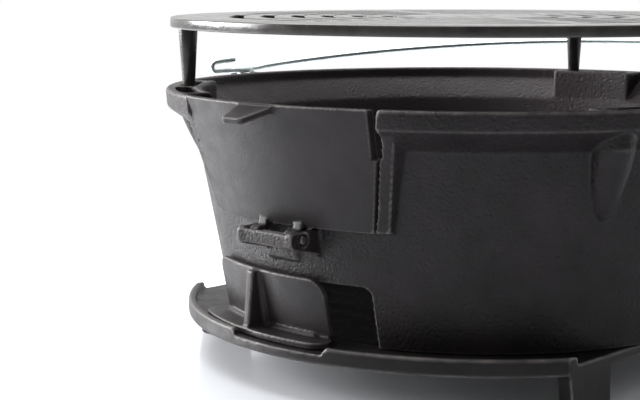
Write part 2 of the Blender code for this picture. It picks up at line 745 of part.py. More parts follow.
def make_fire_bowl():
    """Tapered bowl with its rim sockets, door frame, hinge bracket, spigots and openings."""
    bowl = bowl_shell()
    cheeks, bar = hinge_bracket()
    join(bowl, socket_blocks(), seat_lobes(), door_frame(), cheeks, bar, hinge_pad(), bail_spigots())
    opening = door_outline(DOOR_GAP, DOOR_FOOT_Z + SILL_OVERLAP, DOOR_SLOTS)
    door_way = slab("door_way", [opening], FRONT_NEAR_Y, FRONT_FAR_Y, "Y")
    draft = draft_outline(DRAFT_HALF, BOWL_FOOT_Z - 0.01, DRAFT_TOP_Z, DRAFT_CORNER)
    draft_way = slab("draft_way", [draft], FRONT_NEAR_Y, FRONT_FAR_Y, "Y")
    cut(bowl, door_way, draft_way, socket_troughs(), deep_seats(), rim_hollow(), pin_holes())
    return part("fire_bowl", bowl, IRON)


# Fuel door


def make_fuel_door():
    """Curved door plate with its pull tab and two hinge lugs."""
    top = RIM_Z - EDGE_BREAK / 8.0
    door = turned("door", [
        (door_radius(RIM_Z), RIM_Z),
        (door_radius(DOOR_FOOT_Z), DOOR_FOOT_Z),
        (door_radius(DOOR_FOOT_Z) - DOOR_THICK, DOOR_FOOT_Z),
        (door_radius(RIM_Z) - DOOR_THICK, RIM_Z),
    ], STEPS)
    blank = slab("door_blank", [door_outline(0.0, DOOR_FOOT_Z - 0.0001)], FRONT_NEAR_Y, FRONT_FAR_Y, "Y")
    combine(door, blank, "INTERSECT")
    door = baked(door)
    root_y = -BAND_RADIUS + DOOR_THICK * 0.6
    tip_y = -BAND_RADIUS - TAB_REACH
    tab = slab("door_tab", [mirrored([(TAB_ROOT_HALF, root_y), (TAB_TIP_HALF, tip_y)])],
               top - TAB_THICK, top)
    rotated(tab, TAB_SLOPE, "X", (0.0, root_y, top - 0.0004))
    root_z = PIN_Z + LUG_ROOT_RISE
    root_y = -door_radius(root_z) + DOOR_THICK * 0.75
    foot_y = -door_radius(DOOR_FOOT_Z) + DOOR_THICK - 0.0004
    hull = [(root_y, root_z), (foot_y, DOOR_FOOT_Z + 0.0005)]
    hull += arc(LUG_RADIUS, 300.0, 50.0, 14, (PIN_Y, PIN_Z))
    hull.append((PIN_Y + LUG_NECK_SETBACK, PIN_Z + LUG_NECK_RISE))
    hull.append((-door_radius(root_z) + DOOR_THICK * 0.25, root_z))
    lugs = []
    bore = arc(PIN_HOLE_RADIUS, 0.0, 337.5, 15, (PIN_Y, PIN_Z))
    for side in (-1, 1):
        far = side * (CHEEK_INNER_X - LUG_SIDE_GAP)
        near = far - side * LUG_WIDTH
        lugs.append(slab("lug", [hull, bore], min(near, far), max(near, far), "X"))
    join(door, tab, merged("door_lugs", lugs))
    return part("fuel_door", door, IRON, (0.0, PIN_Y, PIN_Z))


def make_hinge_pin():
    """Steel pin through the bracket's cheeks and the door's lugs."""
    half = CHEEK_INNER_X + CHEEK_THICK + PIN_OVERHANG
    pin = turned("pin", [
        (0.0, half),
        (PIN_RADIUS - 0.0005, half),
        (PIN_RADIUS, half - 0.0005),
        (PIN_RADIUS, -half + 0.0005),
        (PIN_RADIUS - 0.0005, -half),
        (0.0, -half),
    ], 20)
    rotated(pin, 90.0, "Y")
    pin.data.transform(Matrix.Translation((0.0, PIN_Y, PIN_Z)))
    return part("door_hinge_pin", pin, STEEL)


# Draft slider


def make_draft_slider():
    """Curved shutter plate on a flat runner, with an upright grip fin."""
    foot_z = PLATE_TOP_Z + SEAT_GAP
    runner_top = foot_z + RUNNER_THICK
    inner = wall_radius(runner_top) + SLIDER_GAP
    runner = slab("slider", [
        slot_outline((inner + RUNNER_RADIUS) / 2.0, (RUNNER_RADIUS - inner) / 2.0,
                     FRONT - RUNNER_HALF_ANGLE + 3.4, FRONT + RUNNER_HALF_ANGLE - 3.4, 16, 4),
    ], foot_z, runner_top)
    plate_foot = foot_z + RUNNER_THICK / 2.0
    panel = turned("slider_panel", [
        (wall_radius(SLIDER_TOP_Z) + SLIDER_GAP + SLIDER_THICK, SLIDER_TOP_Z),
        (wall_radius(plate_foot) + SLIDER_GAP + SLIDER_THICK, plate_foot),
        (wall_radius(plate_foot) + SLIDER_GAP, plate_foot),
        (wall_radius(SLIDER_TOP_Z) + SLIDER_GAP, SLIDER_TOP_Z),
    ])
    half = wall_radius(SLIDER_TOP_Z) * sin(radians(SLIDER_HALF_ANGLE))
    window = draft_outline(half, plate_foot - 0.01, SLIDER_TOP_Z + 0.00001, SLIDER_CORNER)
    combine(panel, slab("slider_window", [window], FRONT_NEAR_Y, FRONT_FAR_Y, "Y"), "INTERSECT")
    panel = baked(panel)
    panel.name = "slider_plate"
    top_y = -wall_radius(SLIDER_TOP_Z) - SLIDER_GAP - SLIDER_THICK / 2.0
    foot_y = -wall_radius(plate_foot) - SLIDER_GAP - SLIDER_THICK / 2.0
    fin = slab("slider_fin", [[
        (foot_y, plate_foot),
        (top_y, SLIDER_TOP_Z - 0.001),
        (top_y - SLIDER_THICK / 2.0 - FIN_TOP_REACH, SLIDER_TOP_Z - 0.001),
        (-RUNNER_RADIUS + 0.0012, runner_top + 0.001),
        (-RUNNER_RADIUS + 0.0012, plate_foot),
    ]], -FIN_THICK / 2.0, FIN_THICK / 2.0, "X")
    join(runner, panel, fin)
    slider = baked(runner)
    rotated(slider, SLIDER_REST_TURN)
    return part("draft_slider", slider, IRON, (0.0, 0.0, foot_z))


# Grates


def make_coal_grate():
    """Round grate with straight slots either side of a middle rib."""
    radius = wall_radius(LEDGE_Z) - WALL_THICK - COAL_GRATE_PLAY
    outlines = [arc(radius, 0.0, 360.0 - 360.0 / STEPS, STEPS - 1)]
    open_radius = radius - COAL_RIM_WIDTH
    half = COAL_SLOT_WIDTH / 2.0
    rows = ceil(open_radius / COAL_SLOT_PITCH)
    for row in range(-rows, rows + 1):
        y = row * COAL_SLOT_PITCH
        edge = open_radius ** 2 - (abs(y) + half) ** 2
        if edge <= (COAL_RIB_WIDTH * 2.0) ** 2:
            continue
        reach = sqrt(edge) - half
        for side in (-1, 1):
            near = COAL_RIB_WIDTH / 2.0 + half
            points = arc(half, -90.0, 90.0, 4, (reach, y)) + arc(half, 90.0, 270.0, 4, (near, y))
            outlines.append([(side * u, v) for u, v in points])
    foot_z = LEDGE_Z + SEAT_GAP
    grate = slab("coal", outlines, foot_z, foot_z + COAL_GRATE_THICK)
    return part("coal_grate", grate, IRON, (0.0, 0.0, foot_z))


def stud_holes():
    """Blind holes in the grill grate for the studs of its legs."""
    holes = []
    for angle in LEG_ANGLES:
        ring = arc(LEG_STUD_RADIUS + LEG_STUD_PLAY, 0.0, 345.0, 23, polar(LEG_CIRCLE_RADIUS, angle))
        top = GRATE_FOOT_Z + LEG_STUD_LENGTH + LEG_STUD_PLAY
        holes.append(slab("hole", [ring], GRATE_FOOT_Z - 0.002, top))
    return merged("stud_holes", holes)


def make_grill_grate():
    """Round cooking grate with rings of curved slots between spokes and a plain hub."""
    outlines = [arc(GRATE_RADIUS, 0.0, 360.0 - 360.0 / STEPS, STEPS - 1)]
    half = RING_SLOT_WIDTH / 2.0
    for row in range(RING_SLOT_ROWS):
        radius = RING_SLOT_OUTER - row * RING_SLOT_PITCH
        margin = degrees((SPOKE_WIDTH / 2.0 + half) / radius)
        for spoke in range(SPOKES):
            start = FRONT + 360.0 * spoke / SPOKES + margin
            end = FRONT + 360.0 * (spoke + 1) / SPOKES - margin
            pieces = max(2, round((end - start) / 8.0))
            outlines.append(slot_outline(radius, half, start, end, pieces, 2))
    grate = slab("grill", outlines, GRATE_FOOT_Z, GRATE_FOOT_Z + GRATE_THICK)
    cut(grate, stud_holes())
    return part("grill_grate", grate, IRON, (0.0, 0.0, GRATE_FOOT_Z))


def make_leg(label, angle):
    """Tapered round leg with a stud at its head."""
    head_z = GRATE_FOOT_Z - SEAT_GAP
    foot_z = HIGH_SEAT_Z + SEAT_GAP
    leg = turned("leg", [
        (0.0, head_z + LEG_STUD_LENGTH),
        (LEG_STUD_RADIUS, head_z + LEG_STUD_LENGTH),
        (LEG_STUD_RADIUS, head_z),
        (LEG_TOP_RADIUS, head_z),
        (LEG_FOOT_RADIUS, foot_z + 0.0008),
        (LEG_FOOT_RADIUS - 0.0008, foot_z),
        (0.0, foot_z),
    ], 24)
    x, y = polar(LEG_CIRCLE_RADIUS, angle)
    leg.data.transform(Matrix.Translation((x, y, 0.0)))
    return part("grate_leg_" + label, leg, IRON, (x, y, foot_z))


# Bail


def bail_path():
    """Centre line of half the bail from its hook tail to its top, on the +X side."""
    wrap = SPIGOT_RADIUS + EYE_PLAY + WIRE_RADIUS
    level = SPIGOT_Z + wrap
    hook_x = BAIL_HALF_WIDTH - EYE_PITCH
    bend = HOOK_RISE / 2.0
    path = [(hook_x, -HOOK_FORWARD + HOOK_TAIL, level + HOOK_RISE + 0.0010)]
    path.append((hook_x, -HOOK_FORWARD + HOOK_TAIL * 0.45, level + HOOK_RISE + 0.0006))
    for i in range(9):
        turn = radians(90.0 + 180.0 * i / 8)
        path.append((hook_x, -HOOK_FORWARD + bend * cos(turn), level + bend + bend * sin(turn)))
    path.append((hook_x, -HOOK_FORWARD * 0.5, level))
    turns = 20
    for i in range(turns + 1):
        share = i / turns
        turn = radians(90.0 - 360.0 * share)
        across = hook_x + EYE_PITCH * share
        path.append((across, wrap * cos(turn), SPIGOT_Z + wrap * sin(turn)))
    path.append((BAIL_HALF_WIDTH, 0.006, level))
    path.append((BAIL_HALF_WIDTH, 0.011, level + 0.0002))
    arc_steps = 26
    lift = radians(BAIL_TILT)
    start = 0.10
    for i in range(arc_steps + 1):
        swing = start + (pi / 2.0 - start) * i / arc_steps
        across = BAIL_HALF_WIDTH * cos(swing) / cos(start)
        out = BAIL_REACH * sin(swing)
        path.append((across, out * cos(lift), level - 0.0005 + out * sin(lift)))
    return path


def make_bail():
    """Wire bail with a coiled eye and an open hook tail at each end."""
    half = bail_path()
    whole = half + [(-x, y, z) for x, y, z in reversed(half[:-1])]
    curve = bpy.data.curves.new("bail", "CURVE")
    curve.dimensions = "3D"
    curve.bevel_depth = WIRE_RADIUS
    curve.bevel_resolution = 2
    curve.use_fill_caps = True
    spline = curve.splines.new("POLY")
    spline.points.add(len(whole) - 1)
    for point, place in zip(spline.points, whole):
        point.co = (*place, 1.0)
    wire = bpy.data.objects.new("bail", curve)
    CUTTERS.objects.link(wire)
    return part("bail_handle", baked(wire), WIRE, (0.0, 0.0, SPIGOT_Z))


clear_scene()
PARTS = new_collection("fire_grill")
CUTTERS = new_collection("fire_grill_cutters")
IRON = finish("cast_iron", (0.030, 0.028, 0.028), 0.55, 0.35)
STEEL = finish("bright_steel", (0.42, 0.42, 0.42), 0.35, 1.0)
WIRE = finish("galvanised_wire", (0.48, 0.52, 0.52), 0.30, 1.0)

make_base_plate()
make_fire_bowl()
make_fuel_door()
make_hinge_pin()
make_draft_slider()
make_coal_grate()
make_grill_grate()
for leg_name, leg_angle in zip(LEG_NAMES, LEG_ANGLES):
    make_leg(leg_name, leg_angle)
make_bail()
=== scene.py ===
"""Cast iron fire grill dressed for its portrait.

Every casting of the frame gets a finer piece: turned and extruded blanks are fused and carved as
a pattern maker would, and their skin is then rounded as a sand mould leaves it. The finishes, the
light, the floor and the camera follow.

Metres, +Z up, the fuel door faces -Y. Angles are in degrees round +Z, so the front is at 270.
"""

import logging
from collections.abc import Callable
from dataclasses import dataclass, field
from enum import Enum
from math import acos, cos, degrees, pi, radians, sin, sqrt, tan

import bpy
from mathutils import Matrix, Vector


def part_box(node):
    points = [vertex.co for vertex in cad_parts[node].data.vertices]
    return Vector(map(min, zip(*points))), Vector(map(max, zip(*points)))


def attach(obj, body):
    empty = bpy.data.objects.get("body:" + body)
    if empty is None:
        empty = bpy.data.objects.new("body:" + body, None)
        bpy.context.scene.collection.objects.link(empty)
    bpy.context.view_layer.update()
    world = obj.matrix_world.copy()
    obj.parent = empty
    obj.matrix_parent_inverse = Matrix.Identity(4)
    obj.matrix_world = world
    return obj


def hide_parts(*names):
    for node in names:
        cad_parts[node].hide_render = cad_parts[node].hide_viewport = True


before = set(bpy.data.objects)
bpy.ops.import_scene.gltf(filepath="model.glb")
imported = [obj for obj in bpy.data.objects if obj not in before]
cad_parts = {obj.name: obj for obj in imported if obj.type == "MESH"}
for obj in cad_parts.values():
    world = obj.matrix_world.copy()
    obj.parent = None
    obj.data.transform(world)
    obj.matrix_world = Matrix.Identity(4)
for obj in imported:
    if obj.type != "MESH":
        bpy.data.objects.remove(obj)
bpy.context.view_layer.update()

LOG = logging.getLogger("fire_grill")

Point = tuple[float, float]
Corner = tuple[float, ...]
Place = tuple[float, float, float]

FRONT = 270.0
SIDES = (-1.0, 1.0)
SEAT_GAP = 0.0003
LEG_NAMES = ("back", "left", "right")

# How solids are set against each other: a step that keeps two faces out of one plane, a reach into
# the solid that is joined, and a reach of cutters past what they cut.
HAIR = 0.0001
OVERLAP = 0.001
CUT_OVER = 0.01
CUT_NEAR_Y = -0.21
CUT_FAR_Y = -0.08

# Radii of rounded edges and inner corners, from the sharpest to the roundest.
TINY_EDGE = 0.0006
FINE_EDGE = 0.0008
EDGE = 0.0012
RIM_EDGE = 0.0014
SOFT_EDGE = 0.0016
LOOSE_EDGE = 0.002
FILLET = 0.004

# Limits of the drawing helpers: the shortest side that is rounded, the share of a side that an arc
# may take, the bend in radians that counts as straight, and the distance at which points merge.
SHORTEST_SIDE = 1e-7
ARC_SHARE = 0.48
STRAIGHT = 0.01
MERGE_DISTANCE = 0.000002


class Axis(Enum):
    """The world axis that an outline is extruded along."""

    X = "X"
    Y = "Y"
    Z = "Z"


class Fit(Enum):
    """How a second solid changes the first."""

    FUSE = "UNION"
    CARVE = "DIFFERENCE"
    KEEP_SHARED = "INTERSECT"


def polar(radius: float, angle: float) -> Point:
    """Point in plan at this radius and angle in degrees."""
    return radius * cos(radians(angle)), radius * sin(radians(angle))


def arc(radius: float, start: float, end: float, pieces: int, centre: Point = (0.0, 0.0)) -> list[Point]:
    """Points along an arc of a circle.

    Args:
        radius: Radius of the arc.
        start: First angle in degrees.
        end: Last angle in degrees.
        pieces: Straight pieces between the two.
        centre: Centre of the circle.

    Returns:
        The points, both ends included.
    """
    points = []
    for step in range(pieces + 1):
        x, y = polar(radius, start + (end - start) * step / pieces)
        points.append((centre[0] + x, centre[1] + y))
    return points


def circle(radius: float, count: int, centre: Point = (0.0, 0.0)) -> list[Point]:
    """Closed circle of this many points."""
    return arc(radius, 0.0, 360.0 - 360.0 / count, count - 1, centre)


def rounded(corners: list[Corner], pieces: int = 5) -> list[Point]:
    """Closed outline with an arc at each corner that has a radius.

    Args:
        corners: Two coordinates, and a radius where the corner is round, in order.
        pieces: Straight pieces in each arc.

    Returns:
        The outline's points.
    """
    outline = []
    count = len(corners)
    for index, (u, v, *given) in enumerate(corners):
        here = Vector((u, v))
        back = Vector(corners[index - 1][:2]) - here
        on = Vector(corners[(index + 1) % count][:2]) - here
        if not given or min(back.length, on.length) < SHORTEST_SIDE:
            outline.append((u, v))
            continue
        back_way = back.normalized()
        on_way = on.normalized()
        half = acos(max(-1.0, min(1.0, back_way.dot(on_way)))) / 2.0
        if half > pi / 2.0 - STRAIGHT:
            outline.append((u, v))
            continue
        reach = min(given[0] / tan(half), back.length * ARC_SHARE, on.length * ARC_SHARE)
        radius = reach * tan(half)
        middle = here + (back_way + on_way).normalized() * (radius / sin(half))
        first = (here + back_way * reach - middle).normalized()
        last = (here + on_way * reach - middle).normalized()
        for step in range(pieces + 1):
            outline.append(tuple(middle + first.slerp(last, step / pieces) * radius))
    return outline


def slot_outline(radius: float, half_width: float, start: float, end: float, pieces: int,
                 cap_pieces: int) -> list[Point]:
    """Curved slot with round ends in plan.

    Args:
        radius: Radius of the slot's centre line.
        half_width: Half the slot's width.
        start: Angle of the first end's centre.
        end: Angle of the last end's centre.
        pieces: Straight pieces along each side.
        cap_pieces: Straight pieces round each end.

    Returns:
        The outline's points.
    """
    points = arc(radius + half_width, start, end, pieces)
    points += arc(half_width, end, end + 180.0, cap_pieces, polar(radius, end))[1:-1]
    points += arc(radius - half_width, end, start, pieces)
    points += arc(half_width, start + 180.0, start + 360.0, cap_pieces, polar(radius, start))[1:-1]
    return points


def strip(radius: Callable[[float], float], top_z: float, foot_z: float, out: float,
          back: float) -> list[Point]:
    """Profile that follows a tapered face, from this far outside it to this far inside it."""
    top, foot = radius(top_z), radius(foot_z)
    return [(top + out, top_z), (foot + out, foot_z), (foot - back, foot_z), (top - back, top_z)]


def mirrored(corners: list[Corner]) -> list[Corner]:
    """Outline closed with its own mirror image across the second axis, with its radii."""
    return corners + [(-u, *rest) for u, *rest in reversed(corners)]


def pick(piece: bpy.types.Object) -> None:
    """Select this object alone and make it the active one."""
    bpy.ops.object.select_all(action="DESELECT")
    piece.select_set(True)
    bpy.context.view_layer.objects.active = piece


def loop(name: str, points: list[Place], filled: bool) -> bpy.types.Object:
    """Closed loop of points, drawn from a circle whose corners are moved to their places.

    Args:
        name: The object's name.
        points: The loop's points.
        filled: Whether the loop holds one face.

    Returns:
        The new object.
    """
    bpy.ops.object.select_all(action="DESELECT")
    bpy.ops.mesh.primitive_circle_add(vertices=len(points), fill_type="NGON" if filled else "NOTHING")
    piece = bpy.context.object
    piece.name = name
    for vertex, place in zip(piece.data.vertices, points):
        vertex.co = place
    return piece


def close_up(piece: bpy.types.Object) -> None:
    """Merge doubles, drop loose edges, fill open ends and turn every face outwards.

    Args:
        piece: The mesh that is closed.
    """
    pick(piece)
    bpy.ops.object.mode_set(mode="EDIT")
    bpy.ops.mesh.select_all(action="SELECT")
    bpy.ops.mesh.remove_doubles(threshold=MERGE_DISTANCE)
    bpy.ops.mesh.delete_loose()
    bpy.ops.mesh.select_all(action="SELECT")
    bpy.ops.mesh.fill_holes(sides=0)
    bpy.ops.mesh.select_all(action="SELECT")
    bpy.ops.mesh.normals_make_consistent(inside=False)
    bpy.ops.object.mode_set(mode="OBJECT")


def turned(name: str, profile: list[Point], steps: int = 288, start: float = 0.0,
           sweep: float = 360.0) -> bpy.types.Object:
    """Solid turned round Z from a closed profile; the spin runs clockwise, from the last angle back.

    Args:
        name: The object's name.
        profile: Radius and height of each point.
        steps: Steps in the whole sweep.
        start: Angle at which the sweep begins.
        sweep: Angle that it covers; under a full turn its ends are closed flat.

    Returns:
        The closed solid.
    """
    last = start + sweep
    piece = loop(name, [(*polar(radius, last), z) for radius, z in profile], False)
    pick(piece)
    bpy.ops.object.mode_set(mode="EDIT")
    bpy.ops.mesh.select_all(action="SELECT")
    bpy.ops.mesh.spin(steps=steps, angle=radians(sweep), center=(0.0, 0.0, 0.0), axis=(0.0, 0.0, 1.0))
    bpy.ops.object.mode_set(mode="OBJECT")
    close_up(piece)
    return piece


def prism(name: str, outline: list[Point], one: float, other: float,
          along: Axis = Axis.Z) -> bpy.types.Object:
    """Outline extruded between two planes.

    Args:
        name: The object's name.
        outline: Points in X and Y along Z, in X and Z along Y, or in Y and Z along X.
        one: One plane.
        other: The other plane.
        along: The axis it is extruded along.

    Returns:
        The closed solid.
    """
    low, high = sorted((one, other))
    if along is Axis.Z:
        points = [(u, v, low) for u, v in outline]
        step = (0.0, 0.0, high - low)
    elif along is Axis.Y:
        points = [(u, low, v) for u, v in outline]
        step = (0.0, high - low, 0.0)
    else:
        points = [(low, u, v) for u, v in outline]
        step = (high - low, 0.0, 0.0)
    piece = loop(name, points, True)
    pick(piece)
    bpy.ops.object.mode_set(mode="EDIT")
    bpy.ops.mesh.select_all(action="SELECT")
    bpy.ops.mesh.extrude_region_move(TRANSFORM_OT_translate={"value": step})
    bpy.ops.object.mode_set(mode="OBJECT")
    close_up(piece)
    return piece


def placed(piece: bpy.types.Object, turn: Place = (0.0, 0.0, 0.0), move: Place = (0.0, 0.0, 0.0),
           size: Place = (1.0, 1.0, 1.0)) -> bpy.types.Object:
    """Scale, turn and move a piece, in that order, and put the change in its mesh.

    Args:
        piece: The object, still at the origin.
        turn: Angles about X, Y and Z in degrees.
        move: Distance along X, Y and Z.
        size: Factors along X, Y and Z.

    Returns:
        The same object.
    """
    piece.scale = size
    piece.rotation_euler = [radians(angle) for angle in turn]
    piece.location = move
    pick(piece)
    bpy.ops.object.transform_apply(location=True, rotation=True, scale=True)
    return piece


def joined(pieces: list[bpy.types.Object]) -> bpy.types.Object:
    """Put several meshes in the first one's object.

    Args:
        pieces: The meshes, of which the first keeps its object.

    Returns:
        The first object, with every mesh in it.
    """
    pick(pieces[0])
    for piece in pieces[1:]:
        piece.select_set(True)
    bpy.ops.object.join()
    return pieces[0]


def apply_all(piece: bpy.types.Object) -> bpy.types.Object:
    """Apply every modifier of a piece in order.

    Args:
        piece: The object with the modifiers.

    Returns:
        The same object.
    """
    pick(piece)
    for step in list(piece.modifiers):
        bpy.ops.object.modifier_apply(modifier=step.name)
    return piece


def smoothed(piece: bpy.types.Object, angle: float = 35.0) -> bpy.types.Object:
    """Shade a piece smooth but for the edges that bend more than this angle."""
    pick(piece)
    bpy.ops.object.shade_smooth_by_angle(angle=radians(angle))
    return piece


def fitted(piece: bpy.types.Object, other: bpy.types.Object, fit: Fit,
           keep: bool = False) -> bpy.types.Object:
    """Fuse, carve or intersect a piece with another closed solid.

    Args:
        piece: The solid that is changed.
        other: The solid that changes it.
        fit: What is done.
        keep: Whether the other solid is kept for the next piece.

    Returns:
        The changed piece.
    """
    step = piece.modifiers.new("Fit", "BOOLEAN")
    step.object = other
    step.operation = fit.value
    step.solver = "MANIFOLD"
    apply_all(piece)
    if not keep:
        bpy.data.objects.remove(other, do_unlink=True)
    return piece


def front_patch(name: str, profile: list[Point], outline: list[Point], steps: int,
                half_sweep: float) -> bpy.types.Object:
    """Patch of a turned ring that an outline cuts out, seen from the front.

    Args:
        name: The object's name.
        profile: Radius and height of the ring's points.
        outline: The outline in X and Z.
        steps: Steps in the ring's sweep.
        half_sweep: Angle that the ring covers to each side of the front.

    Returns:
        The closed solid.
    """
    ring = turned(name, profile, steps, FRONT - half_sweep, 2.0 * half_sweep)
    window = prism(name + "_window", outline, CUT_NEAR_Y, CUT_FAR_Y, Axis.Y)
    return fitted(ring, window, Fit.KEEP_SHARED)


def add_line(curve: bpy.types.Curve, points: list[Place], closed: bool) -> None:
    """Add a line of straight pieces to a curve.

    Args:
        curve: The curve that takes the line.
        points: The line's points.
        closed: Whether it runs back to its start.
    """
    spline = curve.splines.new("POLY")
    spline.points.add(len(points) - 1)
    spline.use_cyclic_u = closed
    for point, place in zip(spline.points, points):
        point.co = (*place, 1.0)


def meshed(curve: bpy.types.Curve) -> bpy.types.Object:
    """Object whose mesh is made from a curve.

    Args:
        curve: The finished curve.

    Returns:
        The new mesh object.
    """
    piece = bpy.data.objects.new(curve.name, curve)
    bpy.context.scene.collection.objects.link(piece)
    pick(piece)
    bpy.ops.object.convert(target="MESH")
    return bpy.context.object


@dataclass(frozen=True)
class MouldSkin:
    """How a sand mould leaves a casting's skin.

    Args:
        grain: Size of the cells that the skin is drawn with.
        rounding: Passes of smoothing, which set the radius of edges and inner corners.
        ripple: Height of the slow unevenness of the skin.
        ripple_length: Length of that unevenness.
        faces: Most triangles that the skin may have.
    """

    grain: float = 0.0009
    rounding: int = 4
    ripple: float = 0.00016
    ripple_length: float = 0.016
    faces: int = 180000
    quick_grain: float = 1.7

    def cast(self, solids: list[bpy.types.Object]) -> bpy.types.Object:
        """Draw the skin over a blank of overlapping solids.

        Args:
            solids: The blank's solids.

        Returns:
            The casting, one closed smooth-shaded mesh.
        """
        piece = joined(solids)
        cells = piece.modifiers.new("Cells", "REMESH")
        cells.mode = "VOXEL"
        cells.voxel_size = self.grain * 1.0
        soften = piece.modifiers.new("Rounding", "SMOOTH")
        soften.factor = 0.5
        soften.iterations = self.rounding
        apply_all(piece)
        texture = bpy.data.textures.new(piece.name + "_ripple", "CLOUDS")
        texture.noise_scale = self.ripple_length
        texture.noise_depth = 1
        uneven = piece.modifiers.new("Ripple", "DISPLACE")
        uneven.texture = texture
        uneven.texture_coords = "LOCAL"
        uneven.strength = self.ripple
        uneven.mid_level = 0.5
        triangles = 2 * len(piece.data.polygons)
        if triangles > self.faces:
            thin = piece.modifiers.new("Thin", "DECIMATE")
            thin.ratio = self.faces / triangles
        apply_all(piece)
        bpy.data.textures.remove(texture)
        piece.data.shade_smooth()
        return piece


def linear(colour: str) -> tuple[float, float, float, float]:
    """Scene linear colour from an sRGB hex value.

    Args:
        colour: Six hex digits after a hash sign.

    Returns:
        Red, green, blue and an alpha of 1.
    """
    channels = []
    for start in (1, 3, 5):
        value = int(colour[start:start + 2], 16) / 255.0
        channels.append(value / 12.92 if value <= 0.04045 else ((value + 0.055) / 1.055) ** 2.4)
    return (*channels, 1.0)


def per_metre(millimetres: float) -> float:
    """Texture scale of a pattern whose features repeat at this spacing."""
    return 1000.0 / millimetres


def add_node(tree: bpy.types.NodeTree, kind: str, inputs: dict | None = None, **settings) -> bpy.types.Node:
    """Add a shader node with its settings and links.

    Args:
        tree: The material's node tree.
        kind: The node's type.
        inputs: Value or output socket for each input, by name or number.
        settings: Properties of the node.

    Returns:
        The new node.
    """
    made = tree.nodes.new(kind)
    for name, value in settings.items():
        setattr(made, name, value)
    for key, value in (inputs or {}).items():
        if isinstance(value, bpy.types.NodeSocket):
            tree.links.new(value, made.inputs[key])
        else:
            made.inputs[key].default_value = value
    return made


def new_material(name: str) -> tuple[bpy.types.Material, bpy.types.NodeTree]:
    """Material with an empty node tree.

    Args:
        name: The material's name.

    Returns:
        The material and its node tree.
    """
    made = bpy.data.materials.new(name)
    made.use_nodes = True
    made.node_tree.nodes.clear()
    return made, made.node_tree


def ramp(tree: bpy.types.NodeTree, source: bpy.types.NodeSocket, low: float, high: float,
         low_value: float = 0.0, high_value: float = 1.0) -> bpy.types.NodeSocket:
    """Map one range of a value to another, held at its ends.

    Args:
        tree: The material's node tree.
        source: The value's socket.
        low: Source value that gives low_value.
        high: Source value that gives high_value.
        low_value: Result at the low end.
        high_value: Result at the high end.

    Returns:
        The result's socket.
    """
    made = add_node(tree, "ShaderNodeMapRange", {
        "Value": source, "From Min": low, "From Max": high, "To Min": low_value, "To Max": high_value})
    return made.outputs["Result"]


def noise(tree: bpy.types.NodeTree, place: bpy.types.NodeSocket, spacing_mm: float, detail: float,
          roughness: float = 0.5) -> bpy.types.NodeSocket:
    """Cloudy pattern with features of this spacing."""
    made = add_node(tree, "ShaderNodeTexNoise", {
        "Vector": place, "Scale": per_metre(spacing_mm), "Detail": detail, "Roughness": roughness})
    return made.outputs["Fac"]


def product(tree: bpy.types.NodeTree, one: bpy.types.NodeSocket,
            other: bpy.types.NodeSocket) -> bpy.types.NodeSocket:
    """One value times another."""
    return add_node(tree, "ShaderNodeMath", {0: one, 1: other}, operation="MULTIPLY").outputs["Value"]


def blend(tree: bpy.types.NodeTree, share: bpy.types.NodeSocket, base: object,
          top: object) -> bpy.types.NodeSocket:
    """Base colour that gives way to the top colour as the share grows."""
    made = add_node(tree, "ShaderNodeMix", {"Factor": share, "A": base, "B": top}, data_type="RGBA")
    return made.outputs[2]


